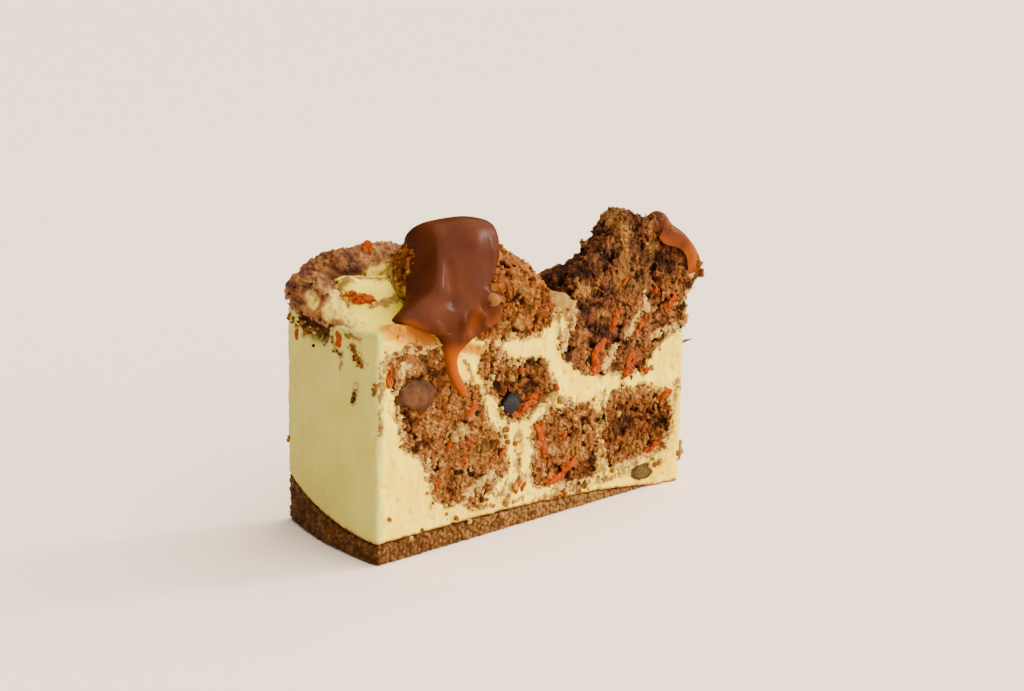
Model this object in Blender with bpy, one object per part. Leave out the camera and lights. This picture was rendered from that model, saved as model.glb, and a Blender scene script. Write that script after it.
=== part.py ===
"""A cut slice of carrot cake cheesecake.

A wedge of cheesecake on a thin biscuit base. Lumps of carrot cake run through the filling from
cut to cut, four browned lumps stand out of its top, and caramel is poured over the middle one.
Everything is set out in slice coordinates: "along" runs from the rim to the tip, "across" from
-1 on the near cut to +1 on the far cut, and "height" up from the plate. The tip points to +X
and the near cut faces -Y.
"""

import math

import bmesh
import bpy
import numpy as np
from mathutils import Vector
from mathutils.geometry import delaunay_2d_cdt

MM = 0.001
GAP = 0.3 * MM
WELD = 0.01 * MM

# The wedge: a fifteenth of a 23 cm cake.
SLICE_LENGTH = 115.5 * MM
HALF_ANGLE = math.radians(12.02)
TIP_HALF_WIDTH = 2.4 * MM
CORNER_ROUNDING = 1.3 * MM
BLOCK_HEIGHT = 59.0 * MM

# The filling's top swells behind the rim, and folds up between the two crowns.
SWELL = 8.5 * MM
SWELL_END = 46 * MM
RIM_SLOPE = 12 * MM
FOLD_RISE = 2.6 * MM
FOLD_PLACE = 66.5 * MM
FOLD_BREADTH = 3.2 * MM
TOP_WAVE = 0.5 * MM
TOP_WAVE_LENGTH = 6.0 * MM
WALL_WAVE = 0.25 * MM
WALL_WAVE_LENGTH = 9.0 * MM

# The biscuit base thins out towards the tip and climbs the far end of the rim.
BASE_THICKNESS = 5.4 * MM
BASE_END = 103.5 * MM
BASE_FADE_LENGTH = 106.0 * MM
BASE_CLIMB = 8.0 * MM
BASE_CLIMB_LENGTH = 35.0 * MM
BASE_FADE_POWER = 3.2
BASE_CLIMB_POWER = 1.6

# The cake pattern slides a little on its way from the near cut to the far one, in waves.
DRIFT_ALONG = 6.0 * MM
DRIFT_UP = 4.0 * MM
DRIFT_ALONG_WAVE = 14.0 * MM
DRIFT_UP_WAVE = 21.0 * MM
DRIFT_START = 0.8
PATTERN_HEIGHT = 62.0 * MM
CROWN_LEAN = 7.0 * MM
LEAN_RISE = 6.0 * MM
LEAN_END = 96.0 * MM
LEAN_FADE = 26.0 * MM

# Roughness of torn and cut cake.
CUT_RELIEF = 0.55 * MM
SIDE_RIPPLE = 0.45 * MM
CROWN_RIPPLE = 1.5 * MM
CRUMB_LUMP = 5.5 * MM
CRUMB_STEP = 4.2 * MM
CUT_OVERRUN = 1.35
TOP_LUMP_SWELL = 0.22
CROWN_SKIN_HEIGHT = 60.0 * MM
CROWN_SKIN_RISE = 6.0 * MM
WAVES = 14

# Outlines on the near cut, as (along, height) in millimetres, anticlockwise.
FRONT_LUMP = [(19, 13.5), (24, 10.3), (30, 8.8), (36, 9.8), (42, 13), (46, 17.5), (46.3, 22.5),
              (43.5, 27), (40, 30.5), (38, 34), (35.8, 39), (31, 42), (26, 46), (22, 52.5),
              (13, 54.5), (5.5, 53.3), (3.6, 48), (6, 41), (8, 34), (10.8, 28), (16, 23)]
MIDDLE_LUMP = [(40.5, 36.5), (44.5, 32), (50, 29.8), (57, 29.8), (62.3, 33), (62.8, 39),
               (60, 43.3), (54.5, 46), (49, 45.3), (45, 47.6), (40.6, 49.8), (37.3, 49),
               (36.8, 44.5)]
LOWER_LUMP = [(56.5, 10), (63, 7.4), (72, 6.2), (80, 6.4), (82.8, 11), (82, 18), (82.6, 25),
              (79.5, 29), (73.5, 30.4), (66, 31.2), (60.5, 28.6), (56.5, 26), (55, 20),
              (55.3, 14)]
TIP_LUMP = [(86.5, 9), (94, 8), (102, 8.8), (108.3, 10.5), (111.7, 15.5), (111.3, 22),
            (108.3, 28), (102, 30.3), (94, 30), (88.3, 30.2), (84.9, 27), (84.4, 20), (84.6, 13)]
CROWN_AT_TIP = [(65, 47), (69, 42.5), (75, 38.8), (82, 37), (90, 35.2), (97, 34), (102, 37),
                (105, 42), (110, 44.5), (115.5, 45.5), (116.3, 51), (117.5, 56), (120, 59),
                (122.6, 60.5), (120, 65), (114, 70), (108.5, 75), (104.6, 78.2), (101, 77.2),
                (97.5, 79), (92.5, 80.5), (89, 79), (86, 75.5), (81.5, 71.5), (77, 68),
                (72, 64.5), (70.3, 57), (68, 51)]

# The lump under the caramel changes from the near cut through the middle to the far cut.
MIDDLE_CROWN_NEAR = [(28, 57), (38, 52.3), (46, 51.2), (54, 51.2), (60, 53), (63, 57),
                     (61.5, 62), (57, 66), (50, 69), (42, 68), (30, 62.5), (14, 60.4)]
MIDDLE_CROWN_CORE = [(27, 58), (34, 54), (43, 52.5), (55, 53.5), (63, 57), (66, 61.5),
                     (61, 68), (54, 73), (47, 77.5), (36, 79), (27, 76), (22, 66)]
MIDDLE_CROWN_FAR = [(31, 62), (36, 57.5), (43, 55), (52, 55.5), (60, 58), (64, 61.5),
                    (60, 65.5), (54, 69), (47, 71.5), (40, 71.5), (34, 70), (31, 66.5)]

# Two browned lumps lie on the swell, one on the rim and one along the far cut: along, across,
# height and radius at each stop of their lengths.
RIM_LUMP = [(4.6, -0.62, 59.6, 1.6), (4.0, -0.32, 60.5, 3.2), (4.0, 0.02, 61.4, 4.3),
            (4.2, 0.36, 62.4, 5.0), (4.6, 0.7, 62.8, 5.6), (4.8, 0.98, 61.8, 4.4)]
FAR_LUMP = [(9.0, 0.6, 64.2, 3.4), (12, 0.68, 66.2, 5.8), (17, 0.73, 67.6, 6.5),
            (22.5, 0.76, 68.4, 6.2), (28, 0.8, 68.4, 5.4), (32.5, 0.84, 67.6, 2.4)]

# The poured caramel: across, height, left edge, right edge, thickness and how far its left edge
# hangs down, at each stop of its way from behind the lump, over it and down the near cut.
CARAMEL_STOPS = [(0.52, 73.0, 30, 42, 1.2, 0), (0.32, 76.5, 26, 46, 2.6, 2),
                 (0.0, 78.8, 23.5, 48, 3.6, 5), (-0.3, 78.6, 21.5, 49, 4.2, 7),
                 (-0.55, 74.0, 19, 48, 4.2, 8), (-0.75, 68.0, 15, 45, 3.8, 6),
                 (-0.92, 62.5, 8, 41.5, 3.0, 2), (-1.0, 58.8, 8.5, 38, 2.0, 0),
                 (-1.0, 54.0, 17.5, 33, 1.8, 0), (-1.0, 49.5, 22.5, 28.5, 1.7, 0),
                 (-1.0, 45.0, 24.3, 28.2, 1.7, 0), (-1.0, 41.5, 26.3, 28.6, 1.0, 0)]
CARAMEL_SOAK = 1.0 * MM
SAUCE_GAP = 0.36 * MM
MITRE_LIMIT = 3.0

# The glaze on the tip's lump: along, height, half its breadth across and thickness.
GLAZE_STOPS = [(94.5, 79.4, 0.3, 0.8), (98, 78.4, 0.8, 1.5), (101.5, 77.5, 1.1, 2.0),
               (105, 76.4, 1.25, 2.6), (109, 73.8, 1.32, 2.6), (114, 69.5, 1.4, 2.6),
               (118.5, 65.2, 1.4, 2.2), (121.8, 61.8, 0.6, 1.0)]
GLAZE_DROOP = 3.0 * MM

# Nuts and fruit that the knife went through: along, height, half length, half height, depth.
PECAN = (13, 42, 5.6, 3.6, 5.0)
RAISIN = (47, 34.2, 3.3, 2.5, 3.2)
WALNUT = (100.5, 5.2, 3.6, 2.2, 2.2)
TIP_NUB = (116.2, 8.2, 1.9, 3.2, 2.0)
NUT_UNEVENNESS = 0.09

# Shreds of carrot that lie in the cuts: start and end as (along, height), and breadth.
LOWER_SHREDS = [((59.6, 25.5), (60.2, 17), 2.0), ((62, 9.6), (72, 14.2), 1.9)]
CROWN_SHREDS = [((79, 39.8), (82, 45.5), 1.8), ((93, 37.5), (96.5, 41), 1.7),
                ((86.5, 49), (89.5, 53), 1.6)]
TIP_SHRED = ((112, 38.2), (120.5, 41.8), 1.1)
SHRED_HEIGHT = 0.6 * MM
SHRED_DEPTH = 1.6 * MM
SHRED_BOW = 0.9 * MM


def half_width(along):
    """Half the slice's breadth: it falls evenly towards the tip, which stays a little blunt."""
    reach = np.maximum(SLICE_LENGTH - along, 0.0)
    return ((reach * math.sin(HALF_ANGLE)) ** 4 + TIP_HALF_WIDTH ** 4) ** 0.25


def slice_points(along, across, height):
    """Slice coordinates to points: an angle and a reach from the tip, with a blunt tip."""
    along, across, height = np.broadcast_arrays(along, across, height)
    swing = across * HALF_ANGLE
    x = -(SLICE_LENGTH - along) * np.cos(swing)
    y = half_width(along) * np.sin(swing) / math.sin(HALF_ANGLE)
    return np.stack([x, y, height], axis=-1)


def base_top(along, across):
    """Height of the biscuit: thinner towards the tip, and climbing the far end of the rim."""
    fade = 1 - np.clip(along / BASE_FADE_LENGTH, 0, 1) ** BASE_FADE_POWER
    climb = BASE_CLIMB * ((across + 1) / 2) ** BASE_CLIMB_POWER * np.exp(-along / BASE_CLIMB_LENGTH)
    return BASE_THICKNESS * fade + climb


def filling_top(along, across):
    """Height of the filling: level at the near cut, higher beyond the middle, low by the crowns.

    Behind the middle the rim half swells. Past the caramel the level drops under the middle
    crown and comes up again as a fold between the two crowns.
    """
    behind = smooth_step((across + 0.3) / 0.6)
    near_rim = smooth_step(along / RIM_SLOPE) * smooth_step((SWELL_END - along) / (SWELL_END / 2))
    fold = FOLD_RISE * np.exp(-((along - FOLD_PLACE) / FOLD_BREADTH) ** 2)
    wave = TOP_WAVE * np.sin(along / TOP_WAVE_LENGTH) * np.sin(2.1 * across + 0.7)
    return BLOCK_HEIGHT + SWELL * behind * near_rim + fold + wave


def smooth_step(value):
    """Runs from 0 to 1 with level ends."""
    value = np.clip(value, 0.0, 1.0)
    return value * value * (3 - 2 * value)


def lumpiness(points, size, seed):
    """Rounded lumps of about one size: a mean of sine waves in random directions."""
    random = np.random.default_rng(seed)
    directions = random.normal(size=(WAVES, 3))
    directions /= np.linalg.norm(directions, axis=1)[:, None]
    turns = 2 * math.pi / (size * random.uniform(0.8, 1.7, size=WAVES))
    phases = random.uniform(0, 2 * math.pi, size=WAVES)
    waves = np.sin(points @ (directions * turns[:, None]).T + phases)
    return np.clip(waves.sum(axis=-1) / 3.2, -1.2, 1.2)


def smooth_outline(stops, count):
    """A closed Catmull-Rom curve through the stops, at evenly spaced points."""
    stops = np.array(stops, float) * MM
    fine = 40
    t = np.linspace(0, 1, fine, endpoint=False)[:, None]
    before, here, after, beyond = (np.roll(stops, shift, axis=0)[:, None] for shift in (1, 0, -1, -2))
    curve = 0.5 * (2 * here + (after - before) * t
                   + (2 * before - 5 * here + 4 * after - beyond) * t ** 2
                   + (3 * here - before - 3 * after + beyond) * t ** 3)
    curve = curve.reshape(-1, 2)
    steps = np.linalg.norm(np.roll(curve, -1, axis=0) - curve, axis=1)
    run = np.concatenate([[0], np.cumsum(steps)])
    curve = np.vstack([curve, curve[:1]])
    wanted = np.linspace(0, run[-1], count, endpoint=False)
    return np.stack([np.interp(wanted, run, curve[:, k]) for k in range(2)], axis=-1)


def outward(outline):
    """The outward direction at each point of an anticlockwise outline."""
    ahead = np.roll(outline, -1, axis=0) - np.roll(outline, 1, axis=0)
    normal = np.stack([ahead[:, 1], -ahead[:, 0]], axis=-1)
    return normal / np.linalg.norm(normal, axis=1)[:, None]


def drifted(outline, across):
    """An outline from the near cut as it is further across the slice.

    Lengthwise and upwards it drifts in waves that vanish at the slice's ends. Above the filling
    the crown's rim side leans towards the tip.
    """
    along, height = outline[:, 0], outline[:, 1]
    turn = (across + 1) / 2
    ends = np.sin(math.pi * np.clip(along / SLICE_LENGTH, 0, 1))
    middle = np.sin(math.pi * np.clip(height / PATTERN_HEIGHT, 0, 1))
    slid = along + DRIFT_ALONG * turn * ends * middle * np.sin(height / DRIFT_ALONG_WAVE + DRIFT_START)
    above = smooth_step((height - PATTERN_HEIGHT) / LEAN_RISE)
    slid = slid + CROWN_LEAN * turn * above * smooth_step((LEAN_END - along) / LEAN_FADE)
    raised = height + DRIFT_UP * turn * middle * np.sin(along / DRIFT_UP_WAVE)
    near_floor, floor = base_top(along, -1.0), base_top(slid, across)
    share = np.clip((PATTERN_HEIGHT - raised) / (PATTERN_HEIGHT - near_floor), 0, 1)
    return np.stack([slid, raised + (floor - near_floor) * share], axis=-1)


def mesh_object(name, vertices, faces):
    """A mesh object from arrays, in triangles split one fixed way, with its faces outwards."""
    mesh = bpy.data.meshes.new(name)
    mesh.from_pydata([tuple(map(float, v)) for v in vertices], [], [tuple(map(int, f)) for f in faces])
    shape = bmesh.new()
    shape.from_mesh(mesh)
    bmesh.ops.triangulate(shape, faces=shape.faces, quad_method="FIXED")
    bmesh.ops.recalc_face_normals(shape, faces=shape.faces)
    if shape.calc_volume(signed=True) < 0:
        bmesh.ops.reverse_faces(shape, faces=shape.faces)
    shape.to_mesh(mesh)
    shape.free()
    thing = bpy.data.objects.new(name, mesh)
    bpy.context.scene.collection.objects.link(thing)
    return thing


def lofted(name, rings):
    """A closed skin over a stack of rings, with a pole at each end."""
    rings = np.asarray(rings)
    stack, around = rings.shape[:2]
    vertices = np.vstack([rings.reshape(-1, 3), rings[0].mean(axis=0), rings[-1].mean(axis=0)])
    first, last = stack * around, stack * around + 1
    faces = side_faces(stack, around)
    for step in range(around):
        after = (step + 1) % around
        faces.append((first, after, step))
        faces.append((last, (stack - 1) * around + step, (stack - 1) * around + after))
    return mesh_object(name, vertices, faces)


def cake_body(name, outline_at, stations, grow, seed, crown=False):
    """A lump of cake that runs from cut to cut.

    Its sides follow the outline across the slice, rippled, and for a crown more so above the
    filling. Its two ends are cut faces with the relief of crumb. With grow, the lump is a
    cutter: larger all round, longer than the slice is wide, and flat at its ends.
    """
    stops = list(np.linspace(-1, 1, stations))
    if grow:
        stops = [-CUT_OVERRUN, *stops, CUT_OVERRUN]
    outlines, rings = [], []
    for across in stops:
        inside = float(np.clip(across, -1, 1))
        outline = outline_at(inside)
        place = slice_points(outline[:, 0], inside, outline[:, 1])
        above = smooth_step((outline[:, 1] - CROWN_SKIN_HEIGHT) / CROWN_SKIN_RISE) if crown else 0.0
        ripple = SIDE_RIPPLE + above * (CROWN_RIPPLE - SIDE_RIPPLE)
        offset = grow + ripple * lumpiness(place, CRUMB_LUMP, seed)
        outline = outline + outward(outline) * offset[:, None]
        outlines.append(outline)
        rings.append(slice_points(outline[:, 0], across, outline[:, 1]))
    around = len(outlines[0])
    vertices, faces = [np.vstack(rings)], side_faces(len(rings), around)
    total = len(rings) * around
    for ring, across in ((0, -1), (len(rings) - 1, 1)):
        inner, triangles = crumb_face(outlines[ring], seed)
        points = slice_points(inner[:, 0], stops[ring], inner[:, 1])
        if not grow:
            points[:, 1] += across * CUT_RELIEF * (lumpiness(points, CRUMB_LUMP, seed + 1) - 0.4)
        numbers = np.concatenate([ring * around + np.arange(around), total + np.arange(len(inner))])
        faces += [tuple(numbers[list(face)]) for face in triangles]
        vertices.append(points)
        total += len(inner)
    return mesh_object(name, np.vstack(vertices), faces)


def side_faces(stack, around):
    """The faces between the rings of a stack."""
    faces = []
    for ring in range(stack - 1):
        for step in range(around):
            after = (step + 1) % around
            a, b = ring * around + step, ring * around + after
            faces.append((a, b, b + around, a + around))
    return faces


def crumb_face(outline, seed):
    """Scattered points inside an outline, and the triangles that join them to it."""
    random = np.random.default_rng(seed)
    low, high = outline.min(axis=0), outline.max(axis=0)
    columns, rows = (np.arange(low[k], high[k], CRUMB_STEP) for k in range(2))
    grid = np.stack(np.meshgrid(columns, rows, indexing="ij"), axis=-1).reshape(-1, 2)
    grid += random.uniform(-0.3, 0.3, grid.shape) * CRUMB_STEP
    away = np.linalg.norm(grid[:, None] - outline[None], axis=2).min(axis=1)
    inner = grid[inside_outline(grid, outline) & (away > 0.55 * CRUMB_STEP)]
    points = [Vector(point / MM) for point in np.vstack([outline, inner])]
    border = list(range(len(outline)))
    result = delaunay_2d_cdt(points, [], [border], 1, 1e-5)
    return inner, result[2]


def inside_outline(points, outline):
    """True for each point that lies inside: a ray from it crosses the outline an odd time."""
    start, end = outline, np.roll(outline, -1, axis=0)
    x, y = points[:, 0:1], points[:, 1:2]
    spans = (start[:, 1] > y) != (end[:, 1] > y)
    rise = np.where(end[:, 1] == start[:, 1], 1.0, end[:, 1] - start[:, 1])
    crossing = start[:, 0] + (y - start[:, 1]) * (end[:, 0] - start[:, 0]) / rise
    return (spans & (x < crossing)).sum(axis=1) % 2 == 1


def cake_lump(name, stops, count, seed, grow=0.0, stations=5, crown=False):
    """A lump of carrot cake whose outline drifts on its way across."""
    outline = smooth_outline(stops, count)
    return cake_body(name, lambda across: drifted(outline, across), stations, grow, seed, crown)


def middle_crown(name, seed, grow=0.0):
    """The lump under the caramel: its outline changes from near, through the core, to far."""
    near, core, far = (smooth_outline(stops, 30)
                       for stops in (MIDDLE_CROWN_NEAR, MIDDLE_CROWN_CORE, MIDDLE_CROWN_FAR))

    def outline_at(across):
        """The core's outline, turning into a cut's outline towards that cut."""
        side = near if across < 0 else far
        return core + (side - core) * smooth_step(abs(across)) ** 1.6
    return cake_body(name, outline_at, 9, grow, seed, crown=True)


def block(name, start, end, top, columns, rows, layers, grow=0.0):
    """A solid over the slice's plan from start to end, up to the top function.

    Its walls are built of level layers, so that they can carry a slight waviness, and the rim's
    near corner is rounded.
    """
    across = np.sin(np.linspace(-math.pi / 2, math.pi / 2, rows + 1))
    along = np.linspace(start, end, columns + 1)
    walk = [(start, v) for v in across]
    walk += [(s, 1.0) for s in along[1:-1]]
    walk += [(end, v) for v in across[::-1]]
    walk += [(s, -1.0) for s in along[1:-1][::-1]]
    walk = np.array(walk)
    rounding = CORNER_ROUNDING * np.clip(-walk[:, 1], 0, 1) ** 12 * (walk[:, 0] == start)
    s, v = walk[:, 0] + rounding, walk[:, 1]
    vertices, faces = [], []
    around = len(walk)
    for layer in range(layers + 1):
        height = top(s, v) * layer / layers
        points = slice_points(s, v, height)
        wave = WALL_WAVE * lumpiness(points, WALL_WAVE_LENGTH, 5)
        wave = wave * math.sin(math.pi * layer / layers)
        points[:, 1] += wave * v
        vertices.append(points)
    for layer in range(layers):
        for step in range(around):
            after = (step + 1) % around
            a, b = layer * around + step, layer * around + after
            faces.append((a, b, b + around, a + around))
    faces.append(tuple(range(around))[::-1])
    grid_s, grid_v = np.meshgrid(along[1:-1], across[1:-1], indexing="ij")
    sheet = slice_points(grid_s, grid_v, top(grid_s, grid_v)).reshape(-1, 3)
    vertices.append(sheet)
    first = (layers + 1) * around
    edge = {(round(p[0], 9), round(p[1], 9)): layers * around + i for i, p in enumerate(walk)}

    def index(i, j):
        """The number of a point of the top sheet, which shares its edge with the walls."""
        if 0 < i < columns and 0 < j < rows:
            return first + (i - 1) * (rows - 1) + j - 1
        return edge[(round(along[i], 9), round(across[j], 9))]
    for i in range(columns):
        for j in range(rows):
            faces.append((index(i, j), index(i + 1, j), index(i + 1, j + 1), index(i, j + 1)))
    thing = mesh_object(name, np.vstack(vertices), faces)
    if grow:
        inflate(thing, grow)
    return thing


def inflate(thing, grow):
    """Moves each face of a closed mesh outwards by the same amount."""
    shape = bmesh.new()
    shape.from_mesh(thing.data)
    shape.normal_update()
    moves = [(v, v.normal * grow * min(v.calc_shell_factor(), MITRE_LIMIT)) for v in shape.verts]
    for vertex, move in moves:
        vertex.co += move
    shape.to_mesh(thing.data)
    shape.free()


def top_lump(name, stops, seed, grow=0.0):
    """A browned lump of the top: an uneven roll along its stops, trimmed flat by the far cut."""
    stops = np.array(stops)
    fine = np.linspace(0, len(stops) - 1, 12)
    along, across, height, radius = (smooth_run(fine, stops[:, k]) for k in range(4))
    along, height, radius = along * MM, height * MM, radius * MM
    side = across * half_width(along)
    turn_s, turn_w = np.gradient(along), np.gradient(side)
    length = np.hypot(turn_s, turn_w)
    angle = np.linspace(0, 2 * math.pi, 14, endpoint=False)
    rings = []
    for k in range(len(fine)):
        out = np.cos(angle) * radius[k]
        s = along[k] - out * turn_w[k] / length[k]
        w = side[k] + out * turn_s[k] / length[k]
        z = height[k] + np.sin(angle) * radius[k]
        centre = np.array([along[k], side[k], height[k]])
        place = np.stack([s, w, z], axis=-1)
        swell = 1 + TOP_LUMP_SWELL * lumpiness(place, CRUMB_LUMP, seed)
        place = centre + (place - centre) * swell[:, None]
        rings.append(slice_points(place[:, 0], place[:, 1] / half_width(place[:, 0]), place[:, 2]))
    lump = lofted(name, rings)
    if grow:
        inflate(lump, grow)
    else:
        trim_at_far_cut(lump)
    return lump


def trim_at_far_cut(thing):
    """Slices off what stands past the far cut, and closes the flat face."""
    shape = bmesh.new()
    shape.from_mesh(thing.data)
    everything = [*shape.verts, *shape.edges, *shape.faces]
    away = (math.sin(HALF_ANGLE), math.cos(HALF_ANGLE), 0.0)
    bmesh.ops.bisect_plane(shape, geom=everything, plane_co=(0, 0, 0), plane_no=away,
                           clear_outer=True)
    bmesh.ops.holes_fill(shape, edges=shape.edges, sides=0)
    bmesh.ops.triangulate(shape, faces=shape.faces)
    shape.to_mesh(thing.data)
    shape.free()


def smooth_run(wanted, values):
    """Reads a row of values between its stops along an open Catmull-Rom curve."""
    padded = np.concatenate([[2 * values[0] - values[1]], values, [2 * values[-1] - values[-2]]])
    cell = np.clip(np.floor(wanted).astype(int), 0, len(values) - 2)
    t = wanted - cell
    before, here, after, beyond = (padded[cell + k] for k in range(4))
    return 0.5 * (2 * here + (after - before) * t
                  + (2 * before - 5 * here + 4 * after - beyond) * t ** 2
                  + (3 * here - before - 3 * after + beyond) * t ** 3)


def bead(angle, thickness, soak):
    """Section of a thick sauce: a full rounded top side and a shallow soaked-in underside."""
    lift = np.sign(np.sin(angle)) * np.abs(np.sin(angle)) ** 0.7
    return np.where(lift > 0, lift * thickness, lift * soak)


def caramel(name):
    """The poured caramel: beads across the flow, one behind the other along its way."""
    stops = np.array(CARAMEL_STOPS)
    fine = np.linspace(0, len(stops) - 1, 25)
    across = smooth_run(fine, stops[:, 0])
    height, left, right, thick, hang = (smooth_run(fine, stops[:, k]) * MM for k in range(1, 6))
    middle = (left + right) / 2
    side = across * half_width(middle)
    down_w, down_z = np.gradient(side), np.gradient(height)
    length = np.hypot(down_w, down_z)
    angle = np.linspace(0, 2 * math.pi, 18, endpoint=False)
    rings = []
    for k in range(len(fine)):
        s = middle[k] + np.cos(angle) * (right[k] - left[k]) / 2
        rise = bead(angle, thick[k], CARAMEL_SOAK)
        rise -= hang[k] * np.clip(-np.cos(angle), 0, 1) ** 5
        w = across[k] * half_width(s) + rise * down_z[k] / length[k]
        z = height[k] - rise * down_w[k] / length[k]
        rings.append(slice_points(s, w / half_width(s), z))
    return lofted(name, rings)


def glaze(name):
    """The glaze on the tip's lump: beads across the slice, running down to the overhang."""
    stops = np.array(GLAZE_STOPS)
    fine = np.linspace(0, len(stops) - 1, 15)
    along, height, breadth, thick = (smooth_run(fine, stops[:, k]) for k in range(4))
    along, height, thick = along * MM, height * MM, thick * MM
    ahead_s, ahead_z = np.gradient(along), np.gradient(height)
    length = np.hypot(ahead_s, ahead_z)
    angle = np.linspace(0, 2 * math.pi, 14, endpoint=False)
    rings = []
    for k in range(len(fine)):
        droop = GLAZE_DROOP * min(max(breadth[k] - 0.3, 0.0), 1.0)
        rise = bead(angle, thick[k], CARAMEL_SOAK) - droop * np.abs(np.cos(angle)) ** 4
        s = along[k] - rise * ahead_z[k] / length[k]
        z = height[k] + rise * ahead_s[k] / length[k]
        rings.append(slice_points(s, np.cos(angle) * breadth[k], z))
    return lofted(name, rings)


def nut(name, sizes, seed, grow=0.0):
    """A nut or fruit in the near cut: an uneven egg shape, sliced off flat by the knife."""
    along, height, long, tall, deep = (value * MM for value in sizes)
    edge = -half_width(along)
    angle = np.linspace(0, 2 * math.pi, 14, endpoint=False)
    rings = []
    for polar in np.linspace(0, math.pi, 8)[1:-1]:
        level = np.full(len(angle), -np.cos(polar))
        spread = np.sin(polar)
        place = np.stack([np.cos(angle) * spread, level, np.sin(angle) * spread], axis=-1)
        swell = 1 + NUT_UNEVENNESS * lumpiness(place * 4 * MM, 6 * MM, seed)
        place = place * swell[:, None] * (np.array([long, deep, tall]) + grow)
        s, z = along + place[:, 0], height + place[:, 2]
        limit = -CUT_OVERRUN if grow else -1.0
        v = np.maximum((edge + place[:, 1]) / half_width(s), limit)
        rings.append(slice_points(s, v, z))
    return lofted(name, rings)


def shred(start, end, breadth):
    """A shred of carrot: a curved strip with square ends, half sunk in the near cut."""
    start, end = np.array(start) * MM, np.array(end) * MM
    along = (end - start) / np.linalg.norm(end - start)
    beside = np.array([-along[1], along[0]])
    rings = []
    for t in (0.0, 0.3, 0.65, 1.0):
        bow = SHRED_BOW * math.sin(math.pi * t)
        thin = breadth * MM / 2 * (0.65 + 0.35 * math.sin(math.pi * t))
        middle = start + (end - start) * t + beside * bow
        corners = [(-thin, -1), (thin, -1), (thin, 1), (-thin, 1)]
        ring = [middle + beside * offset for offset, _ in corners]
        points = slice_points(np.array([p[0] for p in ring]), -1.0, np.array([p[1] for p in ring]))
        points[:, 1] += np.array([-SHRED_HEIGHT if side < 0 else SHRED_DEPTH for _, side in corners])
        rings.append(points)
    return lofted("shred", rings)


def boolean(thing, operation, cutter=None, group=None, solver="EXACT"):
    """Applies one Boolean to an object and leaves only its result."""
    modifier = thing.modifiers.new("boolean", "BOOLEAN")
    modifier.operation = operation
    modifier.solver = solver
    if group is None:
        modifier.object = cutter
    else:
        modifier.operand_type = "COLLECTION"
        modifier.collection = group
    graph = bpy.context.evaluated_depsgraph_get()
    result = bpy.data.meshes.new_from_object(thing.evaluated_get(graph))
    thing.modifiers.clear()
    thing.data = result
    tidy_mesh(thing)


def tidy_mesh(thing):
    """Welds what a Boolean leaves closer together than the weld distance."""
    shape = bmesh.new()
    shape.from_mesh(thing.data)
    bmesh.ops.remove_doubles(shape, verts=shape.verts, dist=WELD)
    bmesh.ops.dissolve_degenerate(shape, edges=shape.edges, dist=WELD)
    shape.to_mesh(thing.data)
    shape.free()


def carve(thing, cutter):
    """Cuts one object by another, which is then removed."""
    boolean(thing, "DIFFERENCE", cutter)
    bpy.data.objects.remove(cutter)


def fuse(thing, pieces):
    """Joins small pieces to what they lie on, and removes them."""
    group = bpy.data.collections.new("fused")
    for piece in pieces:
        group.objects.link(piece)
    boolean(thing, "UNION", group=group, solver="MANIFOLD")
    for piece in pieces:
        bpy.data.objects.remove(piece)
    bpy.data.collections.remove(group)


def inflated_copy(thing):
    """A copy of a piece, larger all round by the gap, to cut its bed into a neighbour."""
    copy = thing.copy()
    copy.data = thing.data.copy()
    bpy.context.scene.collection.objects.link(copy)
    inflate(copy, SAUCE_GAP)
    return copy


def material(name, colour, roughness):
    """A plain finish for one kind of food."""
    finish = bpy.data.materials.new(name)
    finish.use_nodes = True
    shader = finish.node_tree.nodes["Principled BSDF"]
    shader.inputs["Base Color"].default_value = (*colour, 1.0)
    shader.inputs["Roughness"].default_value = roughness
    shader.inputs["Metallic"].default_value = 0.0
    return finish


def largest_body(thing):
    """Drops loose scraps that a cut leaves, and keeps the largest body."""
    shape = bmesh.new()
    shape.from_mesh(thing.data)
    unseen, bodies = set(shape.verts), []
    while unseen:
        front, body = [unseen.pop()], []
        while front:
            vertex = front.pop()
            body.append(vertex)
            for edge in vertex.link_edges:
                other = edge.other_vert(vertex)
                if other in unseen:
                    unseen.remove(other)
                    front.append(other)
        bodies.append(body)
    bodies.sort(key=len)
    scraps = [vertex for body in bodies[:-1] for vertex in body]
    bmesh.ops.delete(shape, geom=scraps, context="VERTS")
    shape.to_mesh(thing.data)
    shape.free()


def centre(things):
    """Moves everything so that the middle of the slice's underside is the origin."""
    points = np.vstack([np.array([v.co[:] for v in thing.data.vertices]) for thing in things])
    low, high = points.min(axis=0), points.max(axis=0)
    shift = -np.array([(low[0] + high[0]) / 2, (low[1] + high[1]) / 2, low[2]])
    for thing in things:
        for vertex in thing.data.vertices:
            vertex.co = np.array(vertex.co) + shift


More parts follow.
